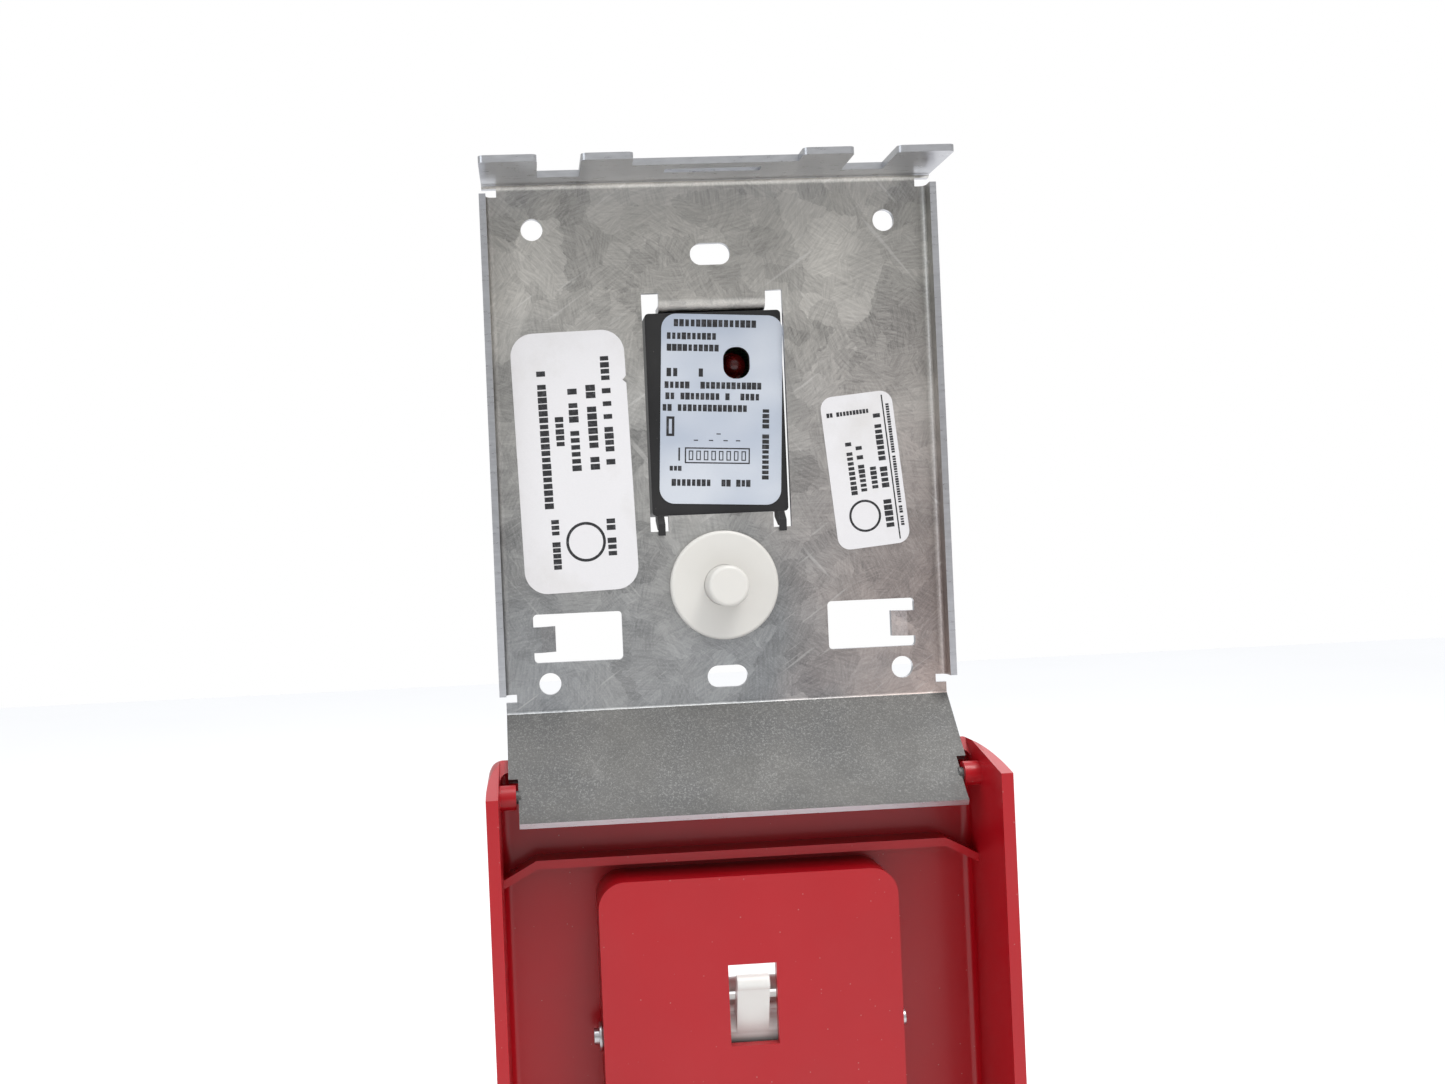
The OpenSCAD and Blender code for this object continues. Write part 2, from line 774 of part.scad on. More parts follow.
module cross_rib() {
    end_x = cover_in_x + 0.3;
    side = [[rib_x, rib_z], [end_x, rib_z + rib_rise]];
    along_y(front_in - 0.5, rib_rear) polygon(concat(
        [[-side[1][0], side[1][1]], [-side[0][0], side[0][1]], side[0], side[1]],
        [side[1] + [0, rib_t], side[0] + [0, rib_t]],
        [[-side[0][0], side[0][1] + rib_t], [-side[1][0], side[1][1] + rib_t]]
    ));
}

// Two posts carry the break rod in open cradles.
module break_post() {
    difference() {
        block([post_x[0], break_y - 1, break_z - 2.6], [post_x[1], pocket_floor + 0.5, break_z + 2.1]);
        rod_x(break_y, break_z, break_r + seat, post_x[0] - 1, post_x[1] + 1);
        block(
            [post_x[0] - 1, break_y - 3, break_z - break_r + 0.1],
            [post_x[1] + 1, break_y, break_z + break_r - 0.1]
        );
    }
}

// Three standing ribs stiffen the front on each side of the lock, and stop below the top flange.
module front_ribs() {
    for (x = [14, 25, 36])
        block([x, front_in - 0.5, pocket_top + 4], [x + 1.2, front_in + 2.5, flange_top - 1]);
}

module cover_solid() {
    difference() {
        union() {
            cover_shell();
            along_y(front_y + 1, pocket_rear) pocket_outline(pocket_wall);
            both_sides() hinge_boss();
            cross_rib();
            both_sides() front_ribs();
            rod_y(led_pos[0], led_pos[1], light_r + 1.4, front_in - 0.5, front_in + 5);
        }
        along_y(front_y - 2, pocket_floor) pocket_outline(0);
        block([-foot_x - 1.5, pocket_floor - 1, -31.5], [foot_x + 1.5, pocket_rear + 1, -16.5]);
        both_sides() rod_x(hinge_y, hinge_z, nib_d / 2 + running, boss_x - 1, nib_end_x + 0.3);
        rod_x(lever_y, lever_z, lever_rod_r + running, -pocket_x - 9, pocket_x + 9);
        rod_x(push_y, push_z, push_rod_r + running, -pocket_x - 9, pocket_x + 9);
        rod_y(0, lock_z, barrel_r + seat, front_y - 5, front_in + 5);
        rod_y(led_pos[0], led_pos[1], light_r + seat, front_y - 5, front_in + 9);
        rod_y(catch_pos[0], catch_pos[1], 0.9, pocket_floor - 1, pocket_rear + 1);
    }
    both_sides() break_post();
}

module cover() {
    color([0.72, 0.05, 0.1]) swung_down() cover_solid();
}

// A clear rod that carries the module's light to the front of the cover.
module light_pipe() {
    color([0.9, 0.92, 0.92, 0.6]) swung_down() {
        rod_y(led_pos[0], led_pos[1], light_r, front_y - 0.3, -4);
        rod_y(led_pos[0], led_pos[1], light_r + 1.2, front_in + 5 + seat, front_in + 6.2);
    }
}

// ---------- lock ----------

module lock_barrel() {
    color([0.75, 0.76, 0.78]) swung_down() difference() {
        union() {
            rod_y(0, lock_z, barrel_flange_r, front_y - 1.2 - seat, front_y - seat);
            rod_y(0, lock_z, barrel_r, front_y - 1, barrel_end);
        }
        rod_y(0, lock_z, plug_r + running, front_y - 5, barrel_end + 1);
    }
}

module lock_nut() {
    color([0.7, 0.7, 0.72]) swung_down() difference() {
        translate([0, front_in + seat, lock_z]) rotate([-90, 0, 0])
            cylinder(r = barrel_r + 3.6, h = lock_nut_t, $fn = 6);
        rod_y(0, lock_z, barrel_r + running, front_in - 1, front_in + 9);
    }
}

module lock_plug() {
    color([0.8, 0.81, 0.83]) swung_down() difference() {
        union() {
            rod_y(0, lock_z, plug_r, plug_front, barrel_end + 0.6);
            translate([-2.6, barrel_end + 0.5, lock_z - 2.6]) cube([5.2, cam_y + cam_t - barrel_end - 0.5, 5.2]);
        }
        rod_y(0, lock_z, 2.4, plug_front - 1, plug_front + 0.6);
        translate([0, plug_front, lock_z]) cube([1.1, 18, 6.4], center = true);
        rod_y(0, lock_z, 1.2, cam_y - 5, cam_y + 9);
    }
}

// The cam points to the side while the lock is open. Its tip is an arc about the lock's axis.
module lock_cam() {
    color([0.7, 0.7, 0.72]) swung_down() difference() {
        along_y(cam_y, cam_y + cam_t) translate([0, lock_z]) union() {
            circle(7);
            intersection() {
                translate([0, -cam_half_w]) square([cam_reach, 2 * cam_half_w]);
                circle(cam_reach);
            }
        }
        translate([-2.65, cam_y - 1, lock_z - 2.65]) cube([5.3, 9, 5.3]);
    }
}

module cam_screw() {
    head_y = cam_y + cam_t + seat;
    color([0.75, 0.75, 0.77]) swung_down() difference() {
        union() {
            rod_y(0, lock_z, 4.2, head_y, head_y + 2);
            rod_y(0, lock_z, 1.2 - seat, cam_y - 4, head_y + 0.1);
        }
        translate([0, head_y + 2, lock_z]) cube([10, 1.6, 0.9], center = true);
    }
}

// ---------- rods, springs and catch ----------

module lever_rod() {
    end_x = pocket_x + pocket_wall + rod_overhang;
    color([0.7, 0.7, 0.72]) swung_down() rod_x(lever_y, lever_z, lever_rod_r, -end_x, end_x);
}

module push_plate_rod() {
    end_x = pocket_x + pocket_wall + rod_overhang;
    color([0.7, 0.7, 0.72]) swung_down() rod_x(push_y, push_z, push_rod_r, -end_x, end_x);
}

module rod_clips() {
    start_x = pocket_x + pocket_wall + seat;
    color([0.3, 0.3, 0.32]) swung_down() both_sides() {
        rod_clip(lever_y, lever_z, lever_rod_r, start_x);
        rod_clip(push_y, push_z, push_rod_r, start_x);
    }
}

module rod_clip(y, z, r, start_x) {
    difference() {
        rod_x(y, z, r + 1.1, start_x, start_x + clip_t);
        rod_x(y, z, r + 0.02, start_x - 1, start_x + 2);
    }
}

// Points of a torsion spring about a rod: one leg, the coils along X, and the other leg.
function torsion(x0, x1, r, turns, leg_1, leg_2) = concat(
    [[x0, leg_1[0], leg_1[1]]],
    [for (i = [0:turns * 16]) [x0 + (x1 - x0) * i / (turns * 16),
        r * cos(180 + i * 360 / 16), r * sin(180 + i * 360 / 16)]],
    [[x1, leg_2[0], leg_2[1]]]
);

module lever_spring() {
    wire_r = 0.35;
    color([0.8, 0.8, 0.82]) swung_down() translate([0, lever_y, lever_z])
        wire(torsion(stem_x + 1.2, stem_x + 5.2, lever_rod_r + 0.55, 4.25, [-2.95, 6.5], [3.8, -4]), wire_r, [1, 0, 0]);
}

module push_plate_spring() {
    wire_r = 0.3;
    color([0.8, 0.8, 0.82]) swung_down() translate([0, push_y, push_z])
        wire(torsion(-3, 3, push_rod_r + 0.45, 5.25, [-1.5, -4.5], [7.3, -1.4]), wire_r, [1, 0, 0]);
}

module break_rod() {
    color([0.9, 0.9, 0.85]) swung_down() rod_x(break_y, break_z, break_r, -break_l / 2, break_l / 2);
}

// A leaf that drops behind the lever's hub and holds the lever when it has been pulled.
module catch_spring() {
    leaf_y = pocket_floor - seat;
    color([0.78, 0.79, 0.8]) swung_down() difference() {
        along_x(catch_pos[0] - 2.5, catch_pos[0] + 2.5) polygon([
            [leaf_y, 1], [leaf_y - catch_t, 1], [leaf_y - catch_t, -7], [leaf_y - 1.4, -12.4],
            [leaf_y - 0.6, -15], [leaf_y - 0.3, -14.9], [leaf_y - 1.1, -12.4], [leaf_y, -7]
        ]);
        rod_y(catch_pos[0], catch_pos[1], 1.1, leaf_y - 2, leaf_y + 2);
    }
}

module catch_screw() {
    head_y = pocket_floor - seat - catch_t - 1.2;
    color([0.75, 0.75, 0.77]) swung_down() difference() {
        union() {
            rod_y(catch_pos[0], catch_pos[1], 1.9, head_y, head_y + 1.15);
            rod_y(catch_pos[0], catch_pos[1], 0.85, head_y + 1, pocket_rear);
        }
        translate([catch_pos[0], head_y, catch_pos[1]]) rotate([0, 35, 0])
            cube([5, 1, 0.5], center = true);
    }
}

// ---------- lever and push plate ----------

module pull_lever() {
    edge_r = 1.2;
    foot_y = plunger_tip - foot_gap - foot_t / 2;
    foot_z = lever_z - foot_drop;
    color([0.93, 0.92, 0.9]) swung_down() difference() {
        union() {
            along_y(face_y, face_y + bar_t) translate([0, (bar_bottom + bar_top) / 2])
                round_rect(lever_w, bar_h, edge_r);
            along_y(face_y, face_y + 3.4) translate([0, lever_z + 1])
                round_rect(2 * stem_x, 10, edge_r);
            rod_x(lever_y, lever_z, hub_r, -stem_x, stem_x);
            along_x(-stem_x, stem_x) polygon([
                [face_y + 2, lever_z - hub_r], [lever_y, lever_z - hub_r],
                [lever_y, lever_z + hub_r], [face_y + 2, lever_z + hub_r + 1]
            ]);
            along_x(-foot_x, foot_x) {
                polygon([
                    [lever_y, lever_z - hub_r], [foot_y, foot_z - foot_t / 2],
                    [foot_y + foot_t / 3, foot_z + foot_t / 3], [lever_y + hub_r, lever_z]
                ]);
                translate([foot_y, foot_z]) circle(foot_t / 2);
            }
        }
        rod_x(lever_y, lever_z, lever_rod_r + running, -stem_x - 1, stem_x + 1);
    }
}

// A plain arrow that points down, let into the front of the bar.
module lever_arrow() {
    color([0.72, 0.05, 0.1]) swung_down() along_y(face_y - 0.15, face_y - 0.01)
        translate([0, (bar_bottom + bar_top) / 2])
            polygon([[-2, 5], [2, 5], [2, 0], [5, 0], [0, -5], [-5, 0], [-2, 0]]);
}

module push_plate() {
    color([0.93, 0.92, 0.9]) swung_down() difference() {
        union() {
            along_y(face_y, face_y + push_t) translate([0, (push_bottom + push_top) / 2])
                round_rect(lever_w, push_top - push_bottom, 1);
            both_sides() {
                rod_x(push_y, push_z, knuckle_r, knuckle_x[0], knuckle_x[1]);
                block([knuckle_x[0], face_y + 0.5, push_z - 1.2], [knuckle_x[1], push_y, push_z + 1.2]);
            }
        }
        rod_x(push_y, push_z, push_rod_r + running, -lever_w, lever_w);
    }
}

// ---------- nodes ----------

back_plate();
large_label();
small_label();
module_case();
module_back();
module_label();
circuit_board();
status_led();
dip_switch_body();
terminal_block();
terminal_clamps();
terminal_screws();
dip_slider(1);  // dip_slider_1
dip_slider(2);  // dip_slider_2
dip_slider(3);  // dip_slider_3
dip_slider(4);  // dip_slider_4
dip_slider(5);  // dip_slider_5
dip_slider(6);  // dip_slider_6
dip_slider(7);  // dip_slider_7
dip_slider(8);  // dip_slider_8
switch_bezel();
switch_nut();
switch_case();
switch_contacts();
switch_leads();
switch_spring();
switch_plunger();
contact_bridge();
cover();
lock_barrel();
lock_nut();
lock_plug();
lock_cam();
cam_screw();
light_pipe();
lever_rod();
push_plate_rod();
rod_clips();
lever_spring();
push_plate_spring();
break_rod();
catch_spring();
catch_screw();
pull_lever();
lever_arrow();
push_plate();
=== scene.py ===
"""Finishes a wall-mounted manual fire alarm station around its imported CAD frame."""

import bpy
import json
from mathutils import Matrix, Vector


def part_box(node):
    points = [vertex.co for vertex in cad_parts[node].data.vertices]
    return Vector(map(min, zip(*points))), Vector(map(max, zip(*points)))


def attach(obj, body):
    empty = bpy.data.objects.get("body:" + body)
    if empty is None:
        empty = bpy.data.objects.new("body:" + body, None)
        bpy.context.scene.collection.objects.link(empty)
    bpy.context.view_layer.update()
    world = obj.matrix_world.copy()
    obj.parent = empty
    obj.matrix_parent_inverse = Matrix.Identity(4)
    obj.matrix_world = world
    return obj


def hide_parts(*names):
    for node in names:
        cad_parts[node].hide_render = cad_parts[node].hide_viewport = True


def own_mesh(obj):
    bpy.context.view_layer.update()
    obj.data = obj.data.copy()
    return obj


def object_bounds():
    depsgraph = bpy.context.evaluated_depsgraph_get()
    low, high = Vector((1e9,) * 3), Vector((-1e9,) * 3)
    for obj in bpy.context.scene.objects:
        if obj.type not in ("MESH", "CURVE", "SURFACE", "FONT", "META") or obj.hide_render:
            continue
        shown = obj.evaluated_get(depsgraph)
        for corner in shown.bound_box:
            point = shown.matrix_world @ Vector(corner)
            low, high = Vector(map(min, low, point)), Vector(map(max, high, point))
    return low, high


bl_info = {
    "name": "Manual Fire Alarm Station",
    "version": (1, 0, 0),
    "blender": (4, 5, 0),
    "location": "3D View > Sidebar > Station",
    "description": "Finishes the sheet metal, plastics, labels and lock of a fire alarm station",
    "category": "Object",
}

import json
import math

import bmesh
import bpy
from mathutils import Euler, Matrix, Vector

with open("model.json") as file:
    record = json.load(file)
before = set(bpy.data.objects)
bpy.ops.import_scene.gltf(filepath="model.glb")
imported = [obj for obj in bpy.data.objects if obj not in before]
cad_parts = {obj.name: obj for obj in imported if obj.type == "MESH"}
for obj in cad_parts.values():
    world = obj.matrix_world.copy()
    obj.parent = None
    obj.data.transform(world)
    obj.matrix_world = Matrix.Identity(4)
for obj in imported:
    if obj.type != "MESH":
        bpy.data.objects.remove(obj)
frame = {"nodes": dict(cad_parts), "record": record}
CAD_BOX = [list(corner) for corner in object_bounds()]
NODES = frame["nodes"]
MM = 0.001

# How the CAD meshes are cleaned and shaded: a length in metres, and angles in degrees.
MERGE_WITHIN = 2e-7
FLAT_WITHIN = 0.6
BEVEL_FROM = 32.0
SHARP_FROM = 35.0


# ---------- sizes and colours ----------


class FinishSizes(bpy.types.PropertyGroup):
    """Sizes of the finishing work, in metres."""

    moulded_edge: bpy.props.FloatProperty(
        name="Moulded edge", description="Radius of the edges of the moulded pieces",
        default=0.00028, unit="LENGTH")
    small_edge: bpy.props.FloatProperty(
        name="Small edge", description="Radius of the edges of small pieces",
        default=0.00008, unit="LENGTH")
    ink: bpy.props.FloatProperty(
        name="Ink", description="Thickness of the print on the labels",
        default=0.00002, unit="LENGTH")
    spangle: bpy.props.FloatProperty(
        name="Spangle", description="Zinc crystals in each metre", default=88.0)


class FinishColours(bpy.types.PropertyGroup):
    """Colours of the finishing work."""

    zinc_dark: bpy.props.FloatVectorProperty(
        name="Dark zinc", description="Colour of the dark zinc crystals", subtype="COLOR", size=3,
        default=(0.24, 0.24, 0.24))
    zinc_light: bpy.props.FloatVectorProperty(
        name="Light zinc", description="Colour of the light zinc crystals", subtype="COLOR", size=3,
        default=(0.62, 0.61, 0.59))
    cover: bpy.props.FloatVectorProperty(
        name="Cover", description="Colour of the red plastic", subtype="COLOR", size=3,
        default=(0.40, 0.003, 0.009))
    switch: bpy.props.FloatVectorProperty(
        name="Switch", description="Colour of the alarm switch", subtype="COLOR", size=3,
        default=(0.69, 0.675, 0.64))
    paper: bpy.props.FloatVectorProperty(
        name="Paper", description="Colour of the two white labels", subtype="COLOR", size=3,
        default=(0.72, 0.71, 0.72))


def sizes():
    """The sizes that the user set."""
    return bpy.context.scene.station_sizes


def colours():
    """The colours that the user set."""
    return bpy.context.scene.station_colours


# ---------- node helpers ----------


def add(tree, kind, **settings):
    """A new node. Settings that name an input set its value, and the others set a property."""
    node = tree.nodes.new(kind)
    for key, value in settings.items():
        if hasattr(node, key):
            setattr(node, key, value)
        else:
            node.inputs[key.replace("_", " ")].default_value = value
    return node


def join(tree, start, end):
    """Links two sockets."""
    tree.links.new(start, end)


def feed(tree, value, socket):
    """Joins another socket to this one, or sets a plain value on it."""
    if isinstance(value, bpy.types.NodeSocket):
        join(tree, value, socket)
    else:
        socket.default_value = value


def maths(tree, operation, first, second=0.0, third=None, clamp=False):
    """The output of a Math node. Each operand is a number or a socket."""
    node = tree.nodes.new("ShaderNodeMath")
    node.operation = operation
    node.use_clamp = clamp
    feed(tree, first, node.inputs[0])
    feed(tree, second, node.inputs[1])
    if third is not None:
        feed(tree, third, node.inputs[2])
    return node.outputs[0]


def ramp(tree, source, low, high):
    """A value that goes from 0 at low to 1 at high."""
    node = add(tree, "ShaderNodeMapRange", clamp=True)
    node.inputs["From Min"].default_value = low
    node.inputs["From Max"].default_value = high
    join(tree, source, node.inputs["Value"])
    return node.outputs["Result"]


def blend_colour(tree, mask, first, second, way="MIX"):
    """A mixed colour. The mask and each colour are a value or a socket."""
    node = tree.nodes.new("ShaderNodeMix")
    node.data_type = "RGBA"
    node.blend_type = way
    for number, value in ((0, mask), (6, first), (7, second)):
        if not isinstance(value, (int, float, bpy.types.NodeSocket)):
            value = (*value[:3], 1.0)
        feed(tree, value, node.inputs[number])
    return node.outputs[2]


def place(tree, scale=(1.0, 1.0, 1.0)):
    """Object coordinates, stretched by scale."""
    at = add(tree, "ShaderNodeTexCoord").outputs["Object"]
    node = tree.nodes.new("ShaderNodeMapping")
    node.inputs["Scale"].default_value = scale
    join(tree, at, node.inputs["Vector"])
    return node.outputs["Vector"]


def noise(tree, vector, scale, detail, rough=0.55):
    """Cloudy noise from 0 to 1. Scale is a number or a socket."""
    node = add(tree, "ShaderNodeTexNoise", Detail=detail, Roughness=rough)
    feed(tree, scale, node.inputs["Scale"])
    join(tree, vector, node.inputs["Vector"])
    return node.outputs["Fac"]


def effect(name, inputs, outputs):
    """A shader node group with named inputs and outputs, and its two end nodes."""
    tree = bpy.data.node_groups.new(name, "ShaderNodeTree")
    for label, kind, default in inputs:
        socket = tree.interface.new_socket(name=label, in_out="INPUT", socket_type=kind)
        socket.default_value = default
    for label, kind in outputs:
        tree.interface.new_socket(name=label, in_out="OUTPUT", socket_type=kind)
    return tree, tree.nodes.new("NodeGroupInput"), tree.nodes.new("NodeGroupOutput")


FLOAT = "NodeSocketFloat"
WHOLE = "NodeSocketInt"

# The zinc's crystals: how far their edges wander, in metres, how much their streaks are drawn out,
# how far the streaks turn from one crystal to the next, and how much finer the small crystals are.
CRYSTAL_WANDER = 0.0032
STREAK_SQUEEZE = 0.11
STREAK_TURN = 6.283
SMALL_CRYSTALS = 2.7


def streaks_in_cells(tree, at, ragged, cells_scale, streak_scale):
    """Crystals that each have their own shade and their own direction of fine streaks."""
    cells = tree.nodes.new("ShaderNodeTexVoronoi")
    join(tree, ragged, cells.inputs["Vector"])
    join(tree, cells_scale, cells.inputs["Scale"])
    pick = tree.nodes.new("ShaderNodeSeparateColor")
    join(tree, cells.outputs["Color"], pick.inputs[0])
    turn = tree.nodes.new("ShaderNodeVectorRotate")
    turn.rotation_type = "Y_AXIS"
    join(tree, at, turn.inputs["Vector"])
    join(tree, maths(tree, "MULTIPLY", pick.outputs[0], STREAK_TURN), turn.inputs["Angle"])
    along = tree.nodes.new("ShaderNodeMapping")
    along.inputs["Scale"].default_value = (STREAK_SQUEEZE, 1.0, 1.0)
    join(tree, turn.outputs[0], along.inputs["Vector"])
    return pick.outputs[1], noise(tree, along.outputs[0], streak_scale, 2.0, 0.5)


def spangle_effect():
    """Feathered zinc crystals, large ones with smaller ones in them: a shade and a height."""
    tree, ins, outs = effect(
        "zinc spangle", [("Cells", FLOAT, 100.0)], [("Shade", FLOAT), ("Feather", FLOAT)])
    at = place(tree)
    wobble = add(tree, "ShaderNodeTexNoise", Scale=420.0, Detail=3.0)
    join(tree, at, wobble.inputs["Vector"])
    shift = tree.nodes.new("ShaderNodeVectorMath")
    shift.operation = "MULTIPLY_ADD"
    shift.inputs[1].default_value = (CRYSTAL_WANDER,) * 3
    join(tree, wobble.outputs["Color"], shift.inputs[0])
    join(tree, at, shift.inputs[2])
    large, long_streak = streaks_in_cells(tree, at, shift.outputs[0], ins.outputs["Cells"], 2300.0)
    small_scale = maths(tree, "MULTIPLY", ins.outputs["Cells"], SMALL_CRYSTALS)
    small, short_streak = streaks_in_cells(tree, at, shift.outputs[0], small_scale, 3400.0)
    streak = maths(tree, "MULTIPLY", maths(tree, "ADD", long_streak, short_streak), 0.5)
    parts = (maths(tree, "MULTIPLY", maths(tree, "SUBTRACT", streak, 0.5), 1.3),
             maths(tree, "MULTIPLY", large, 0.36), maths(tree, "MULTIPLY", small, 0.24),
             maths(tree, "MULTIPLY", noise(tree, at, 38.0, 4.0, 0.6), 0.5))
    total = parts[0]
    for part in parts[1:]:
        total = maths(tree, "ADD", total, part, clamp=part is parts[-1])
    join(tree, total, outs.inputs["Shade"])
    join(tree, streak, outs.inputs["Feather"])
    return tree


def grit_effect():
    """The fine pale grit of a matt, cast-looking zinc coat."""
    tree, ins, outs = effect("zinc grit", [("Amount", FLOAT, 0.5)], [("Mask", FLOAT), ("Height", FLOAT)])
    coarse = noise(tree, place(tree), 2300.0, 2.0, 0.6)
    fine = noise(tree, place(tree), 5200.0, 2.0, 0.6)
    grit = maths(tree, "MULTIPLY", maths(tree, "ADD", coarse, fine), 0.5)
    shown = ramp(tree, grit, 0.50, 0.64)
    join(tree, maths(tree, "MULTIPLY", shown, ins.outputs["Amount"]), outs.inputs["Mask"])
    join(tree, grit, outs.inputs["Height"])
    return tree


def scratch_effect():
    """Fine bright scratches that run in two directions."""
    tree, ins, outs = effect("fine scratches", [("Amount", FLOAT, 0.5)], [("Mask", FLOAT)])
    lines = []
    for angle, scale in ((0.6, 900.0), (-0.9, 700.0)):
        turn = tree.nodes.new("ShaderNodeVectorRotate")
        turn.rotation_type = "Y_AXIS"
        turn.inputs["Angle"].default_value = angle
        join(tree, place(tree), turn.inputs["Vector"])
        thin = tree.nodes.new("ShaderNodeMapping")
        thin.inputs["Scale"].default_value = (0.07, 0.3, 1.0)
        join(tree, turn.outputs[0], thin.inputs["Vector"])
        lines.append(ramp(tree, noise(tree, thin.outputs[0], scale, 2.0, 0.4), 0.70, 0.76))
    both = maths(tree, "MAXIMUM", lines[0], lines[1])
    join(tree, maths(tree, "MULTIPLY", both, ins.outputs["Amount"]), outs.inputs["Mask"])
    return tree


def dust_effect():
    """Settled dust: a soft veil and scattered specks."""
    tree, ins, outs = effect(
        "settled dust", [("Veil", FLOAT, 0.1), ("Specks", FLOAT, 0.5)], [("Mask", FLOAT)])
    cloud = ramp(tree, noise(tree, place(tree), 70.0, 3.0, 0.5), 0.35, 0.85)
    veil = maths(tree, "MULTIPLY", cloud, ins.outputs["Veil"])
    dots = tree.nodes.new("ShaderNodeTexVoronoi")
    dots.inputs["Scale"].default_value = 1100.0
    join(tree, place(tree), dots.inputs["Vector"])
    near = maths(tree, "SUBTRACT", 1.0, ramp(tree, dots.outputs["Distance"], 0.08, 0.16))
    some = tree.nodes.new("ShaderNodeSeparateColor")
    join(tree, dots.outputs["Color"], some.inputs[0])
    rare = ramp(tree, some.outputs[0], 0.90, 0.93)
    specks = maths(tree, "MULTIPLY", maths(tree, "MULTIPLY", near, rare), ins.outputs["Specks"])
    join(tree, maths(tree, "MAXIMUM", veil, specks), outs.inputs["Mask"])
    return tree


def grain_effect():
    """The spark-eroded grain of moulded plastic, as a height."""
    tree, ins, outs = effect("moulded grain", [("Scale", FLOAT, 2500.0)], [("Height", FLOAT)])
    join(tree, noise(tree, place(tree), ins.outputs["Scale"], 2.0, 0.5), outs.inputs["Height"])
    return tree


EFFECT_MAKERS = {"spangle": spangle_effect, "grit": grit_effect, "scratches": scratch_effect,
                 "dust": dust_effect, "grain": grain_effect}
EFFECTS = {}
MATERIALS = {}


def use(tree, name, **values):
    """An effect group placed in a material, with its own values."""
    if name not in EFFECTS:
        EFFECTS[name] = EFFECT_MAKERS[name]()
    node = tree.nodes.new("ShaderNodeGroup")
    node.node_tree = EFFECTS[name]
    for key, value in values.items():
        node.inputs[key].default_value = value
    return node


def new_material(name, **plain):
    """A material with a Principled shader whose plain values are set on its own sockets."""
    material = bpy.data.materials.new(name)
    material.use_nodes = True
    tree = material.node_tree
    shader = tree.nodes["Principled BSDF"]
    for key, value in plain.items():
        shader.inputs[key.replace("_", " ")].default_value = value
    MATERIALS[name] = material
    return material, tree, shader


def bump(tree, shader, height, distance, strength):
    """Feeds a height into the shader's normal. Distance is in metres."""
    node = add(tree, "ShaderNodeBump", Strength=strength, Distance=distance)
    join(tree, height, node.inputs["Height"])
    join(tree, node.outputs["Normal"], shader.inputs["Normal"])


# ---------- materials ----------


def painted_plate_light(tree):
    """Painted light on the zinc: a warm, pale painted light on top, a cool, dim painted shade lower down, and
    a rosy painted reflection low on the right.
    """
    split = tree.nodes.new("ShaderNodeSeparateXYZ")
    join(tree, add(tree, "ShaderNodeTexCoord").outputs["Object"], split.inputs[0])
    cloud = maths(tree, "MULTIPLY", maths(tree, "SUBTRACT", noise(tree, place(tree), 30.0, 3.0), 0.5), 0.06)
    up = ramp(tree, maths(tree, "ADD", split.outputs[2], cloud), -0.050, 0.030)
    right = ramp(tree, maths(tree, "ADD", split.outputs[0], cloud), 0.004, 0.040)
    upright = blend_colour(tree, up, (0.66, 0.69, 0.73), (1.0, 0.985, 0.95))
    low = maths(tree, "SUBTRACT", 1.0, up, clamp=True)
    return blend_colour(tree, maths(tree, "MULTIPLY", right, low), upright, (0.95, 0.78, 0.74))


def zinc_material(name, tongue):
    """Spangled zinc plate, with painted light on the plate. The tongue is duller and gritty, and a painted
    shade darkens its colours.
    """
    tint = colours()
    material, tree, shader = new_material(name, Metallic=1.0)
    crystals = use(tree, "spangle", Cells=sizes().spangle * (1.8 if tongue else 1.0))
    scratches = use(tree, "scratches", Amount=0.12 if tongue else 0.28)
    dust = use(tree, "dust", Veil=0.25, Specks=0.3)
    grit = use(tree, "grit", Amount=0.42 if tongue else 0.14)
    # A painted shade darkens every colour of the tongue. The plate's colours stay as they are.
    tongue_shade = 0.36 if tongue else 1.0
    dark, light = [tuple(tongue_shade * part for part in colour) for colour in (tint.zinc_dark, tint.zinc_light)]
    shade = crystals.outputs["Shade"]
    # On the tongue, the crystals' contrast is cut and their mix is darkened further: painted shade.
    if tongue:
        shade = maths(tree, "MULTIPLY_ADD", shade, 0.35, -0.08)
    zinc = blend_colour(tree, shade, dark, light)
    # On the plate the colour is multiplied by painted light: paler on top, painted shade lower down, and a
    # rosy painted reflection low on the right.
    if not tongue:
        zinc = blend_colour(tree, 1.0, zinc, painted_plate_light(tree), "MULTIPLY")
    pale = tuple(tongue_shade * part for part in (0.80, 0.81, 0.78))
    bright = tuple(tongue_shade * part for part in (0.80, 0.79, 0.77))
    gritty = blend_colour(tree, grit.outputs["Mask"], zinc, pale)
    worn = blend_colour(tree, scratches.outputs["Mask"], gritty, bright)
    dusty = blend_colour(tree, dust.outputs["Mask"], worn, (0.30, 0.29, 0.27))
    join(tree, dusty, shader.inputs["Base Color"])
    least_rough = 0.44 if tongue else 0.29
    spread = maths(tree, "MULTIPLY_ADD", crystals.outputs["Shade"], 0.2, least_rough)
    join(tree, maths(tree, "ADD", spread, maths(tree, "MULTIPLY", dust.outputs["Mask"], 0.3), clamp=True),
         shader.inputs["Roughness"])
    if tongue:
        bump(tree, shader, grit.outputs["Height"], 0.00006, 0.8)
    else:
        bump(tree, shader, crystals.outputs["Feather"], 0.00003, 0.5)
    return material


def bright_metal_material(name, colour, rough, streak):
    """Plated or rolled metal with fine streaks."""
    material, tree, shader = new_material(name, Metallic=1.0)
    lines = noise(tree, place(tree, streak), 1800.0, 3.0, 0.6)
    dark = tuple(0.72 * part for part in colour)
    join(tree, blend_colour(tree, lines, dark, colour), shader.inputs["Base Color"])
    join(tree, maths(tree, "MULTIPLY_ADD", lines, 0.16, rough), shader.inputs["Roughness"])
    bump(tree, shader, lines, 0.00001, 0.3)
    return material


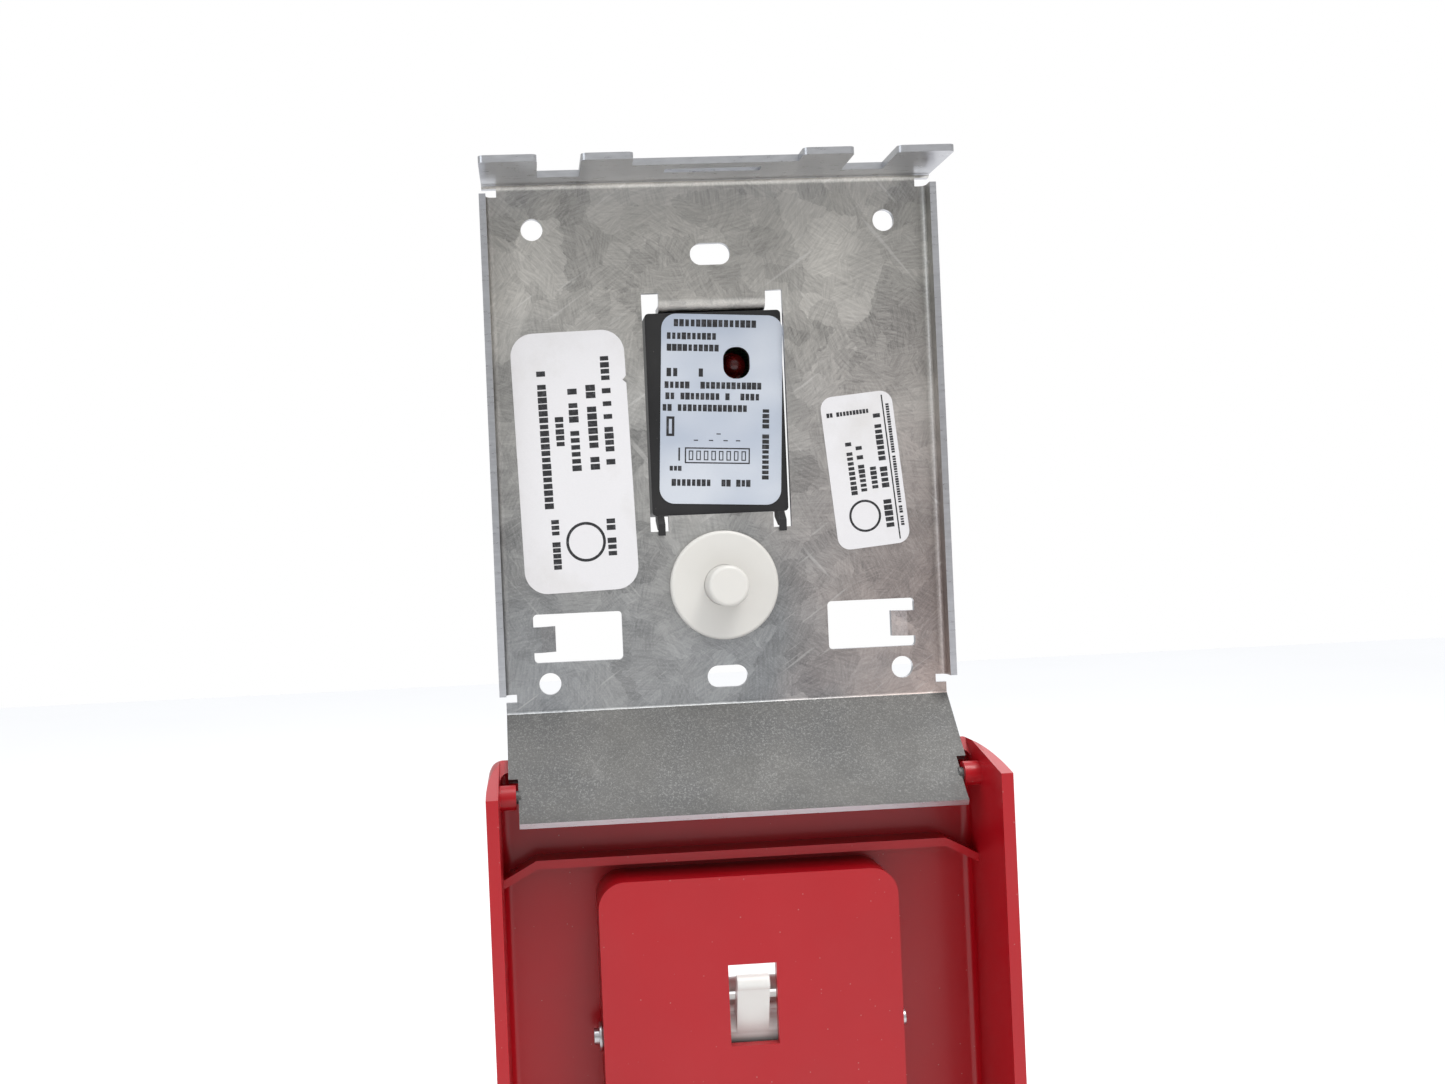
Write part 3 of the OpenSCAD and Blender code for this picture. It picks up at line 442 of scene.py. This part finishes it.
def moulded_material(name, colour, rough, grain, depth, veil, specks, coat=0.0,
                     dust_colour=(0.55, 0.52, 0.48)):
    """Moulded plastic with a fine grain of some depth, uneven gloss, and dust as a veil and specks."""
    material, tree, shader = new_material(
        name, Coat_Weight=coat, Coat_Roughness=0.12, Specular_IOR_Level=0.35)
    dust = use(tree, "dust", Veil=veil, Specks=specks)
    height = use(tree, "grain", Scale=grain)
    broad = noise(tree, place(tree), 60.0, 3.0)
    shade = blend_colour(tree, broad, tuple(0.86 * part for part in colour), colour)
    join(tree, blend_colour(tree, dust.outputs["Mask"], shade, dust_colour), shader.inputs["Base Color"])
    value = maths(tree, "MULTIPLY_ADD", broad, 0.14, rough - 0.06)
    join(tree, maths(tree, "ADD", value, maths(tree, "MULTIPLY", dust.outputs["Mask"], 0.4), clamp=True),
         shader.inputs["Roughness"])
    bump(tree, shader, height.outputs["Height"], depth, 0.5)
    return material


def paper_material(name, colour, rough, sheen):
    """A printed label: faint fibres, a little grime, and soft waves where it is stuck down."""
    material, tree, shader = new_material(name, Coat_Weight=sheen, Coat_Roughness=0.3)
    fibre = noise(tree, place(tree, (1.0, 1.0, 3.0)), 2600.0, 3.0)
    grime = ramp(tree, noise(tree, place(tree), 55.0, 5.0, 0.65), 0.52, 0.8)
    shade = blend_colour(tree, fibre, tuple(0.9 * part for part in colour), colour)
    stain = blend_colour(tree, maths(tree, "MULTIPLY", grime, 0.35), shade, (0.46, 0.43, 0.38))
    join(tree, stain, shader.inputs["Base Color"])
    join(tree, ramp(tree, fibre, -rough, 1.6 - rough), shader.inputs["Roughness"])
    bump(tree, shader, noise(tree, place(tree), 110.0, 2.0), 0.0002, 0.25)
    return material


def silver_label_material():
    """A silvery plastic label with a cool, cloudy sheen."""
    material, tree, shader = new_material(
        "silver label", Metallic=0.25, Coat_Weight=0.4, Coat_Roughness=0.25)
    cloud = ramp(tree, noise(tree, place(tree, (1.0, 1.0, 1.6)), 34.0, 2.0), 0.35, 0.65)
    fine = noise(tree, place(tree), 3000.0, 2.0)
    blue = blend_colour(tree, cloud, (0.39, 0.44, 0.53), (0.60, 0.63, 0.68))
    join(tree, blend_colour(tree, maths(tree, "MULTIPLY", fine, 0.25), blue, (0.5, 0.55, 0.62)),
         shader.inputs["Base Color"])
    join(tree, ramp(tree, fine, -0.9, 1.9), shader.inputs["Roughness"])
    bump(tree, shader, noise(tree, place(tree), 90.0, 2.0), 0.00025, 0.25)
    return material


def ink_material():
    """Black print that is a little thin in places."""
    material, tree, shader = new_material("ink", Roughness=0.5)
    thin = ramp(tree, noise(tree, place(tree), 1400.0, 3.0), 0.5, 0.85)
    black = blend_colour(tree, thin, (0.010, 0.010, 0.012), (0.09, 0.09, 0.10))
    join(tree, black, shader.inputs["Base Color"])
    return material


def board_material():
    """A green board with lighter copper tracks under its lacquer."""
    material, tree, shader = new_material(
        "circuit board", Coat_Weight=0.6, Coat_Roughness=0.2, Roughness=0.4)
    tracks = tree.nodes.new("ShaderNodeTexBrick")
    tracks.inputs["Scale"].default_value = 420.0
    tracks.inputs["Mortar Size"].default_value = 0.04
    turn = tree.nodes.new("ShaderNodeVectorRotate")
    turn.rotation_type = "X_AXIS"
    turn.inputs["Angle"].default_value = math.pi / 2
    join(tree, place(tree), turn.inputs["Vector"])
    join(tree, turn.outputs[0], tracks.inputs["Vector"])
    join(tree, blend_colour(tree, tracks.outputs["Fac"], (0.012, 0.085, 0.035), (0.05, 0.22, 0.08)),
         shader.inputs["Base Color"])
    bump(tree, shader, tracks.outputs["Fac"], 0.00003, 0.5)
    return material


def clear_material(name, colour, rough):
    """Clear or tinted plastic with faint flow marks."""
    material, tree, shader = new_material(
        name, Transmission_Weight=0.95, IOR=1.49, Base_Color=(*colour, 1.0))
    flow = noise(tree, place(tree), 260.0, 3.0)
    join(tree, ramp(tree, flow, 0.5 - 2.0 * rough, 1.5), shader.inputs["Roughness"])
    bump(tree, shader, flow, 0.00003, 0.2)
    return material


def make_materials():
    """Makes every finish that the pieces wear."""
    tint = colours()
    zinc_material("zinc plate", False)
    zinc_material("zinc tongue", True)
    bright_metal_material("sheared zinc edge", (0.62, 0.63, 0.66), 0.22, (0.2, 1.0, 1.0))
    bright_metal_material("bright steel", (0.60, 0.60, 0.61), 0.24, (0.15, 1.0, 1.0))
    bright_metal_material("spring steel", (0.50, 0.50, 0.52), 0.20, (1.0, 1.0, 1.0))
    bright_metal_material("plated lock", (0.74, 0.74, 0.75), 0.12, (1.0, 0.1, 1.0))
    bright_metal_material("contact metal", (0.72, 0.53, 0.26), 0.25, (1.0, 0.2, 1.0))
    moulded_material("red plastic", tuple(tint.cover), 0.30, 1500.0, 0.000012, 0.03, 0.7, 0.10,
                     (0.42, 0.20, 0.19))
    moulded_material("switch plastic", tuple(tint.switch), 0.36, 2600.0, 0.000006, 0.10, 0.12, 0.15,
                     (0.60, 0.56, 0.48))
    moulded_material("white plastic", (0.74, 0.73, 0.70), 0.30, 2200.0, 0.000008, 0.06, 0.1, 0.2)
    moulded_material("black plastic", (0.012, 0.012, 0.013), 0.42, 2400.0, 0.00002, 0.10, 0.35, 0.0,
                     (0.16, 0.15, 0.14))
    moulded_material("dark switch case", (0.03, 0.03, 0.034), 0.46, 2400.0, 0.00002, 0.06, 0.1)
    moulded_material("blue plastic", (0.02, 0.07, 0.30), 0.38, 2400.0, 0.00001, 0.04, 0.1)
    moulded_material("green plastic", (0.02, 0.20, 0.075), 0.40, 2400.0, 0.00001, 0.04, 0.1)
    moulded_material("lead insulation", (0.32, 0.012, 0.014), 0.42, 3000.0, 0.00001, 0.04, 0.1)
    paper_material("white label", tuple(tint.paper), 0.5, 0.12)
    silver_label_material()
    ink_material()
    board_material()
    clear_material("clear plastic", (0.95, 0.97, 0.97), 0.05)
    clear_material("red lens", (0.75, 0.05, 0.04), 0.1)


# ---------- mesh helpers ----------


def link(name, mesh):
    """A new object in the scene."""
    piece = bpy.data.objects.new(name, mesh)
    bpy.context.scene.collection.objects.link(piece)
    return piece


def baked(piece):
    """Turns a piece and its modifiers into a plain mesh."""
    graph = bpy.context.evaluated_depsgraph_get()
    mesh = bpy.data.meshes.new_from_object(piece.evaluated_get(graph), depsgraph=graph)
    piece.modifiers.clear()
    piece.data = mesh
    return piece


def smooth(mesh):
    """Smooth shading that keeps the sharp edges."""
    mesh.polygons.foreach_set("use_smooth", [True] * len(mesh.polygons))
    work = bmesh.new()
    work.from_mesh(mesh)
    limit = math.radians(SHARP_FROM)
    for edge in work.edges:
        edge.smooth = len(edge.link_faces) == 2 and edge.calc_face_angle(0.0) < limit
    work.to_mesh(mesh)
    work.free()


def softened(node, width, material, steps=2):
    """A copy of a CAD piece that stands for it. Where there is a width, its edges are softened."""
    mesh = NODES[node].data.copy()
    work = bmesh.new()
    work.from_mesh(mesh)
    bmesh.ops.remove_doubles(work, verts=work.verts, dist=MERGE_WITHIN)
    if width > 0:
        bmesh.ops.dissolve_limit(
            work, angle_limit=math.radians(FLAT_WITHIN), verts=work.verts, edges=work.edges)
        bmesh.ops.triangulate(work, faces=[face for face in work.faces if len(face.verts) > 4])
    work.to_mesh(mesh)
    work.free()
    mesh.materials.clear()
    mesh.materials.append(MATERIALS[material])
    piece = link("finished_" + node, mesh)
    if width > 0:
        edge = piece.modifiers.new("soft edges", "BEVEL")
        edge.width = width
        edge.segments = steps
        edge.limit_method = "ANGLE"
        edge.angle_limit = math.radians(BEVEL_FROM)
        edge.miter_outer = "MITER_ARC"
        edge.use_clamp_overlap = True
    baked(piece)
    smooth(piece.data)
    evened = piece.modifiers.new("even shading", "WEIGHTED_NORMAL")
    evened.keep_sharp = True
    baked(piece)
    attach(piece, body_of_node(node))
    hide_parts(node)
    return piece


def body_of_node(node):
    """The CAD body that a node is on."""
    for body, members in frame["record"]["behaviour"]["bodies"].items():
        if node in members:
            return body
    raise ValueError("no body holds " + node)


def finish_node(node, material):
    """A CAD piece that keeps its own mesh and gets a finish."""
    mesh = NODES[node].data
    mesh.materials.clear()
    mesh.materials.append(MATERIALS[material])


# ---------- greeked print ----------


PRINT_TREE = "greeked line"
# The share of blocks left out as gaps, how wide a block's room is for its height, and a ring's sides.
GAP_SHARE = 0.11
BLOCK_ROOM = 0.72
RING_SIDES = 48


def print_tree():
    """A line of small plain blocks that stands for printed words: Length along X and Height along Z."""
    tree = bpy.data.node_groups.new(PRINT_TREE, "GeometryNodeTree")
    for label, kind, default in (
        ("Length", FLOAT, 0.01), ("Height", FLOAT, 0.001), ("Blocks", WHOLE, 9),
        ("Thickness", FLOAT, 0.00002), ("Seed", WHOLE, 1),
    ):
        tree.interface.new_socket(name=label, in_out="INPUT", socket_type=kind).default_value = default
    tree.interface.new_socket(name="Ink", in_out="INPUT", socket_type="NodeSocketMaterial")
    tree.interface.new_socket(name="Bars", in_out="OUTPUT", socket_type="NodeSocketGeometry")
    ins, outs = tree.nodes.new("NodeGroupInput"), tree.nodes.new("NodeGroupOutput")
    step = maths(tree, "DIVIDE", ins.outputs["Length"], ins.outputs["Blocks"])
    row = tree.nodes.new("GeometryNodeMeshLine")
    join(tree, ins.outputs["Blocks"], row.inputs["Count"])
    vector = tree.nodes.new("ShaderNodeCombineXYZ")
    join(tree, step, vector.inputs[0])
    join(tree, vector.outputs[0], row.inputs["Offset"])
    reach = maths(tree, "SUBTRACT", ins.outputs["Length"], step)
    half = maths(tree, "MULTIPLY", reach, -0.5)
    first = tree.nodes.new("ShaderNodeCombineXYZ")
    join(tree, half, first.inputs[0])
    join(tree, first.outputs[0], row.inputs["Start Location"])
    gap = tree.nodes.new("FunctionNodeRandomValue")
    gap.data_type = "BOOLEAN"
    gap.inputs["Probability"].default_value = GAP_SHARE
    join(tree, ins.outputs["Seed"], gap.inputs["Seed"])
    spaced = tree.nodes.new("GeometryNodeDeleteGeometry")
    join(tree, row.outputs[0], spaced.inputs[0])
    join(tree, gap.outputs[3], spaced.inputs["Selection"])
    size = tree.nodes.new("ShaderNodeCombineXYZ")
    for socket, low, high, whole in ((0, 0.64, 0.90, step), (2, 0.90, 1.0, ins.outputs["Height"])):
        share = tree.nodes.new("FunctionNodeRandomValue")
        share.data_type = "FLOAT"
        share.inputs[2].default_value = low
        share.inputs[3].default_value = high
        join(tree, ins.outputs["Seed"], share.inputs["Seed"])
        join(tree, maths(tree, "MULTIPLY", whole, share.outputs[1]), size.inputs[socket])
    join(tree, ins.outputs["Thickness"], size.inputs[1])
    cube = tree.nodes.new("GeometryNodeMeshCube")
    copies = tree.nodes.new("GeometryNodeInstanceOnPoints")
    join(tree, spaced.outputs[0], copies.inputs["Points"])
    join(tree, cube.outputs[0], copies.inputs["Instance"])
    join(tree, size.outputs[0], copies.inputs["Scale"])
    real = tree.nodes.new("GeometryNodeRealizeInstances")
    join(tree, copies.outputs[0], real.inputs[0])
    inked = tree.nodes.new("GeometryNodeSetMaterial")
    join(tree, real.outputs[0], inked.inputs["Geometry"])
    join(tree, ins.outputs["Ink"], inked.inputs["Material"])
    join(tree, inked.outputs[0], outs.inputs[0])
    return tree


def set_inputs(modifier, **values):
    """Sets a geometry modifier's inputs by their sockets' identifiers."""
    for item in modifier.node_group.interface.items_tree:
        if item.item_type == "SOCKET" and item.in_out == "INPUT" and item.name in values:
            modifier[item.identifier] = values[item.name]


def print_bars(tree, lines, seed):
    """One mesh of greeked lines: each is (across, up, length, height, upright), in millimetres."""
    total = bmesh.new()
    for number, (across, up, length, height, upright) in enumerate(lines):
        carrier = link("line", bpy.data.meshes.new("line"))
        made = carrier.modifiers.new("bars", "NODES")
        made.node_group = tree
        set_inputs(made, Length=length * MM, Height=height * MM,
                   Blocks=max(1, round(length / height / BLOCK_ROOM)),
                   Thickness=sizes().ink, Seed=seed + number, Ink=MATERIALS["ink"])
        baked(carrier)
        turn = Matrix.Rotation(math.pi / 2 if upright else 0.0, 4, "Y")
        carrier.data.transform(Matrix.Translation((across * MM, 0.0, up * MM)) @ turn)
        total.from_mesh(carrier.data)
        bpy.data.objects.remove(carrier)
    return total


def closed_line(work, outside, inside):
    """Adds a closed line between two loops of as many points, in millimetres."""
    half = sizes().ink / 2
    rows = []
    for (outer_x, outer_z), (inner_x, inner_z) in zip(outside, inside):
        corners = ((outer_x, half, outer_z), (outer_x, -half, outer_z),
                   (inner_x, -half, inner_z), (inner_x, half, inner_z))
        rows.append([work.verts.new((x * MM, y, z * MM)) for x, y, z in corners])
    for here, there in zip(rows, rows[1:] + rows[:1]):
        for side in range(4):
            work.faces.new((here[side], here[(side + 1) % 4], there[(side + 1) % 4], there[side]))


def frame_lines(work, across, up, width, height, line):
    """Adds the outline of a rectangle, or one bar where there is no room inside it."""
    if min(width, height) <= line:
        at = Matrix.Translation(Vector((across, 0, up)) * MM)
        size = Matrix.Diagonal(((width + line) * MM, sizes().ink, (height + line) * MM, 1.0))
        bmesh.ops.create_cube(work, size=1.0, matrix=at @ size)
        return
    corners = ((-1, -1), (1, -1), (1, 1), (-1, 1))
    closed_line(work, *([(across + x * wide / 2, up + z * tall / 2) for x, z in corners]
                        for wide, tall in ((width + line, height + line), (width - line, height - line))))


def ring_line(work, across, up, radius, line):
    """Adds the outline of a circle."""
    turns = [math.tau * step / RING_SIDES for step in range(RING_SIDES)]
    closed_line(work, *([(across + reach * math.cos(turn), up + reach * math.sin(turn)) for turn in turns]
                        for reach in (radius, radius - line)))


def print_on(label, lines, seed, slant, frames=(), rings=()):
    """Lays a label's print on its face, turned with the label by its slant in degrees."""
    name = label + "_print"
    work = print_bars(bpy.data.node_groups.get(PRINT_TREE) or print_tree(), lines, seed)
    for outline in frames:
        frame_lines(work, *outline)
    for outline in rings:
        ring_line(work, *outline)
    bmesh.ops.recalc_face_normals(work, faces=work.faces)
    mesh = bpy.data.meshes.new(name)
    work.to_mesh(mesh)
    work.free()
    mesh.materials.append(MATERIALS["ink"])
    low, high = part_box(label)
    middle = (low + high) / 2
    turn = Matrix.Rotation(math.radians(-slant), 4, "Y")
    mesh.transform(Matrix.Translation((middle.x, low.y - sizes().ink / 4, middle.z)) @ turn)
    piece = link(name, mesh)
    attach(piece, "station_back")
    return piece


# Lines of the prints, in millimetres from the middle of the label: across, up, length, height
# and whether the line runs upwards.
LARGE_PRINT = (
    (-5.5, 5.2, 28.5, 1.8, True), (-2.5, 6.0, 6.0, 1.7, True), (0.4, 6.2, 16.4, 1.9, True),
    (4.0, 6.5, 16.9, 1.9, True), (7.1, 9.7, 21.6, 1.8, True), (-4.6, -16.0, 10.0, 1.6, True),
    (6.3, -15.2, 7.6, 1.8, True),
)
SMALL_PRINT = (
    (-2.7, 0.6, 10.7, 1.3, True), (-0.7, 0.3, 9.3, 1.3, True), (1.6, -1.7, 4.6, 1.3, True),
    (3.7, 3.5, 15.0, 1.5, True), (3.6, -8.5, 7.0, 1.7, True), (6.1, 0.4, 24.5, 0.7, True),
    (-2.0, 11.6, 8.6, 0.9, False),
)
MODULE_PRINT = (
    (-2.0, 17.0, 17.7, 1.5, False), (-6.1, 14.4, 10.0, 1.4, False), (-5.8, 12.1, 10.5, 1.4, False),
    (-6.7, 7.2, 8.9, 1.8, False), (-1.2, 4.7, 20.5, 1.4, False), (-1.3, 2.5, 19.9, 1.4, False),
    (-3.3, 0.2, 17.0, 1.4, False), (-1.9, -14.6, 15.8, 1.4, False), (8.9, -6.8, 14.2, 1.4, True),
    (-9.0, -11.8, 2.5, 1.0, False),
)
# Outlines, in millimetres: across, up, width, height and line.
MODULE_DASHES = ((-5.0, -6.2), (-2.0, -6.2), (0.9, -6.2), (3.4, -6.2), (-0.5, -4.9))
MODULE_MARKS = ((-10.1, -3.5, 1.1, 3.4, 0.5), (-8.3, -9.0, 0.05, 2.3, 0.28)) + tuple(
    (across, up, 0.7, 0.05, 0.16) for across, up in MODULE_DASHES)
DIP_DIAGRAM = ((-0.7, -9.2, 12.7, 2.9, 0.26),) + tuple(
    (-0.7 + (switch - 3.5) * 1.5, -9.2, 0.7, 1.7, 0.2) for switch in range(8))


# ---------- operators ----------


class STATION_OT_materials(bpy.types.Operator):
    """Makes every finish"""

    bl_idname = "station.materials"
    bl_label = "Finishes"
    bl_options = {"REGISTER", "UNDO"}

    def execute(self, context):
        make_materials()
        return {"FINISHED"}


# How the folded plate's faces are told apart. Lengths are in metres: the sheet, the height of the
# tongue's bend, how far in front of the flat a face is on the tongue or a flange, and the height of
# the tongue's tip. A face is across a direction below the first share, and along it above the second.
SHEET = 1.3 * MM
TONGUE_BEND = -49.8 * MM
BEND_SLACK = 0.2 * MM
SKIN_SLACK = 0.6 * MM
TONGUE_TIP = 0.8 * MM
ACROSS = 0.3
ALONG = 0.9


class STATION_OT_back_plate(bpy.types.Operator):
    """Finishes the folded zinc plate and its bright sheared edges"""

    bl_idname = "station.back_plate"
    bl_label = "Back plate"
    bl_options = {"REGISTER", "UNDO"}

    def execute(self, context):
        plate = softened("back_plate", 0.0, "zinc plate")
        mesh = plate.data
        for name in ("zinc tongue", "sheared zinc edge"):
            mesh.materials.append(MATERIALS[name])
        low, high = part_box("back_plate")
        for face in mesh.polygons:
            centre, normal = face.center, face.normal
            if centre.z < TONGUE_BEND and centre.y < -SHEET - BEND_SLACK:
                face.material_index = 1
                cut_edge = abs(normal.x) > 0.7 or centre.z < low.z + TONGUE_TIP
            elif centre.z > high.z - SHEET:
                cut_edge = abs(normal.z) < ACROSS
            elif centre.y < -SHEET - SKIN_SLACK:
                cut_edge = normal.y < -ALONG or abs(normal.z) > ALONG
            else:
                cut_edge = abs(normal.y) < ACROSS
            if cut_edge:
                face.material_index = 2
        return {"FINISHED"}


class STATION_OT_labels(bpy.types.Operator):
    """Finishes the three labels and lays their greeked print on them"""

    bl_idname = "station.labels"
    bl_label = "Labels"
    bl_options = {"REGISTER", "UNDO"}

    def execute(self, context):
        finish_node("large_label", "white label")
        finish_node("small_label", "white label")
        finish_node("module_label", "silver label")
        print_on("large_label", LARGE_PRINT, 11, 1.4,
                 rings=[(1.2, -15.8, 3.9, 0.55)])
        print_on("small_label", SMALL_PRINT, 31, 5.2,
                 frames=[(5.2, 0.0, 0.05, 28.6, 0.22)], rings=[(-1.2, -9.0, 3.2, 0.45)])
        print_on("module_label", MODULE_PRINT, 51, -3.0, MODULE_MARKS + DIP_DIAGRAM)
        return {"FINISHED"}


class STATION_OT_address_module(bpy.types.Operator):
    """Finishes the address module, its board and its terminals"""

    bl_idname = "station.address_module"
    bl_label = "Address module"
    bl_options = {"REGISTER", "UNDO"}

    def execute(self, context):
        edge, small_edge = sizes().moulded_edge, sizes().small_edge
        softened("module_case", edge, "black plastic")
        softened("module_back", edge, "black plastic")
        softened("dip_switch_body", small_edge, "blue plastic")
        softened("terminal_block", small_edge, "green plastic")
        softened("terminal_clamps", small_edge, "bright steel")
        softened("terminal_screws", small_edge, "bright steel")
        finish_node("circuit_board", "circuit board")
        softened("status_led", 0.0, "red lens")
        for number in range(1, 9):
            softened("dip_slider_%d" % number, small_edge, "white plastic")
        return {"FINISHED"}


class STATION_OT_alarm_switch(bpy.types.Operator):
    """Finishes the alarm switch, its contacts and its leads"""

    bl_idname = "station.alarm_switch"
    bl_label = "Alarm switch"
    bl_options = {"REGISTER", "UNDO"}

    def execute(self, context):
        softened("switch_bezel", 0.0, "switch plastic")
        softened("switch_plunger", 0.0, "switch plastic")
        softened("switch_nut", sizes().moulded_edge, "switch plastic")
        softened("switch_case", sizes().moulded_edge, "dark switch case")
        softened("switch_contacts", sizes().small_edge, "contact metal")
        softened("contact_bridge", sizes().small_edge, "contact metal")
        softened("switch_leads", 0.0, "lead insulation")
        spring = softened("switch_spring", 0.0, "spring steel")
        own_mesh(spring)
        return {"FINISHED"}


class STATION_OT_cover(bpy.types.Operator):
    """Finishes the red cover and the light pipe in it"""

    bl_idname = "station.cover"
    bl_label = "Cover"
    bl_options = {"REGISTER", "UNDO"}

    def execute(self, context):
        softened("cover", 0.0, "red plastic")
        softened("light_pipe", sizes().small_edge, "clear plastic")
        return {"FINISHED"}


class STATION_OT_lock(bpy.types.Operator):
    """Finishes the key lock, its nut and its cam"""

    bl_idname = "station.lock"
    bl_label = "Lock"
    bl_options = {"REGISTER", "UNDO"}

    def execute(self, context):
        edge = 2 * sizes().small_edge
        for node in ("lock_barrel", "lock_plug"):
            softened(node, edge, "plated lock")
        for node in ("lock_nut", "lock_cam", "cam_screw"):
            softened(node, edge, "bright steel")
        return {"FINISHED"}


class STATION_OT_lever(bpy.types.Operator):
    """Finishes the pull lever, its arrow, the push plate and the break rod"""

    bl_idname = "station.lever"
    bl_label = "Lever and push plate"
    bl_options = {"REGISTER", "UNDO"}

    def execute(self, context):
        hand_edge = sizes().moulded_edge * 1.6
        for node in ("pull_lever", "push_plate"):
            softened(node, hand_edge, "white plastic", steps=3)
        softened("break_rod", sizes().small_edge, "white plastic")
        finish_node("lever_arrow", "red plastic")
        return {"FINISHED"}


class STATION_OT_rods_and_springs(bpy.types.Operator):
    """Finishes the rods, their clips, the springs and the catch"""

    bl_idname = "station.rods_and_springs"
    bl_label = "Rods and springs"
    bl_options = {"REGISTER", "UNDO"}

    def execute(self, context):
        for node in ("lever_rod", "push_plate_rod", "rod_clips", "catch_spring", "catch_screw"):
            softened(node, sizes().small_edge, "bright steel")
        for node in ("lever_spring", "push_plate_spring"):
            softened(node, 0.0, "spring steel")
        return {"FINISHED"}


class STATION_OT_stage(bpy.types.Operator):
    """Makes the pale floor, the soft studio light and the camera"""

    bl_idname = "station.stage"
    bl_label = "Stage"
    bl_options = {"REGISTER", "UNDO"}

    def execute(self, context):
        make_floor()
        make_lights()
        make_camera()
        return {"FINISHED"}


# ---------- stage ----------


FLOOR_GAP = 0.012
FLOOR_HALF = 1.6


def make_floor():
    """A pale matt floor a little below the station."""
    material, tree, shader = new_material(
        "pale floor", Roughness=0.85, Emission_Color=(1.0, 1.0, 1.0, 1.0), Emission_Strength=0.12)
    cloud = noise(tree, place(tree), 3.0, 2.0)
    join(tree, blend_colour(tree, cloud, (0.80, 0.80, 0.80), (0.84, 0.84, 0.84)), shader.inputs["Base Color"])
    below = CAD_BOX[0][2] - FLOOR_GAP
    half = FLOOR_HALF
    mesh = bpy.data.meshes.new("floor")
    mesh.from_pydata([(-half, -half, below), (half, -half, below), (half, half, below), (-half, half, below)],
                     [], [(0, 1, 2, 3)])
    mesh.materials.append(material)
    link("floor", mesh)


# Each light's name, place, size, power in watts and colour.
LIGHTS = (
    ("window light", (0.26, -0.40, 0.72), 0.32, 3.3, (1.0, 0.98, 0.95)),
    ("cool fill", (-0.65, -0.40, 0.10), 0.40, 0.8, (0.88, 0.94, 1.0)),
    ("top light", (0.05, -0.15, 0.75), 0.50, 2.2, (1.0, 1.0, 1.0)),
    ("back light", (0.2, 0.7, 0.45), 0.50, 0.9, (1.0, 1.0, 1.0)),
)


def make_lights():
    """Soft studio lights in a pale room. The camera sees the room as plain white."""
    scene = bpy.context.scene
    scene.view_settings.view_transform = "Standard"
    world = bpy.data.worlds.new("studio")
    world.use_nodes = True
    tree = world.node_tree
    backing = tree.nodes["Background"]
    backing.inputs["Strength"].default_value = 1.0
    scene.world = world
    # The room: bright overhead, pale in front, dim low down, and warm low on the right.
    at = add(tree, "ShaderNodeTexCoord").outputs["Generated"]
    split = tree.nodes.new("ShaderNodeSeparateXYZ")
    join(tree, at, split.inputs[0])
    across, up = split.outputs[0], split.outputs[2]
    front = blend_colour(tree, ramp(tree, up, -0.30, 0.16), (0.17, 0.18, 0.20), (0.56, 0.56, 0.55))
    warm = maths(tree, "MULTIPLY", ramp(tree, across, 0.06, 0.30), ramp(tree, up, 0.10, -0.12))
    tinted = blend_colour(tree, maths(tree, "MULTIPLY", warm, 0.6), front, (0.52, 0.36, 0.33))
    room = blend_colour(tree, ramp(tree, up, 0.22, 0.70), tinted, (1.12, 1.14, 1.18))
    seen = tree.nodes.new("ShaderNodeLightPath")
    shown = blend_colour(tree, seen.outputs["Is Camera Ray"], room, (1.0, 1.0, 1.0))
    join(tree, shown, backing.inputs["Color"])
    centre = Vector((0.0, 0.0, -0.03))
    for name, place_at, size, power, tint in LIGHTS:
        data = bpy.data.lights.new(name, "AREA")
        data.size = size
        data.energy = power
        data.color = tint
        lamp = bpy.data.objects.new(name, data)
        lamp.location = place_at
        lamp.rotation_euler = (centre - lamp.location).to_track_quat("-Z", "Y").to_euler()
        scene.collection.objects.link(lamp)


def make_camera():
    """The camera that looks at the station from in front and slightly to the left."""
    data = bpy.data.cameras.new("camera")
    data.sensor_width = 36.0
    data.lens = 37.9
    data.shift_x = 0.0601
    data.shift_y = -0.0131
    data.clip_start = 0.01
    camera = bpy.data.objects.new("camera", data)
    camera.location = Vector((-37.86, -299.25, -15.36)) * MM
    camera.rotation_euler = Euler([math.radians(a) for a in (90.317, 2.418, -4.005)], "XYZ")
    bpy.context.scene.collection.objects.link(camera)
    bpy.context.scene.camera = camera


# ---------- panel and registration ----------

OPERATORS = (
    STATION_OT_materials, STATION_OT_back_plate, STATION_OT_labels, STATION_OT_address_module,
    STATION_OT_alarm_switch, STATION_OT_cover, STATION_OT_lock, STATION_OT_lever,
    STATION_OT_rods_and_springs, STATION_OT_stage,
)


class STATION_PT_panel(bpy.types.Panel):
    """Lists the steps that finish the station."""

    bl_label = "Fire Alarm Station"
    bl_idname = "STATION_PT_panel"
    bl_space_type = "VIEW_3D"
    bl_region_type = "UI"
    bl_category = "Station"

    def draw(self, context):
        for operator in OPERATORS:
            self.layout.operator(operator.bl_idname)


CLASSES = (FinishSizes, FinishColours, *OPERATORS, STATION_PT_panel)


def register():
    """Registers the classes and puts the sizes and colours on the scene."""
    for item in CLASSES:
        bpy.utils.register_class(item)
    bpy.types.Scene.station_sizes = bpy.props.PointerProperty(type=FinishSizes)
    bpy.types.Scene.station_colours = bpy.props.PointerProperty(type=FinishColours)


def unregister():
    """Takes back what register did."""
    del bpy.types.Scene.station_colours
    del bpy.types.Scene.station_sizes
    for item in reversed(CLASSES):
        bpy.utils.unregister_class(item)


def main():
    """Runs every step in order."""
    register()
    for operator in OPERATORS:
        group, name = operator.bl_idname.split(".")
        getattr(getattr(bpy.ops, group), name)()


if __name__ == "__main__":
    main()
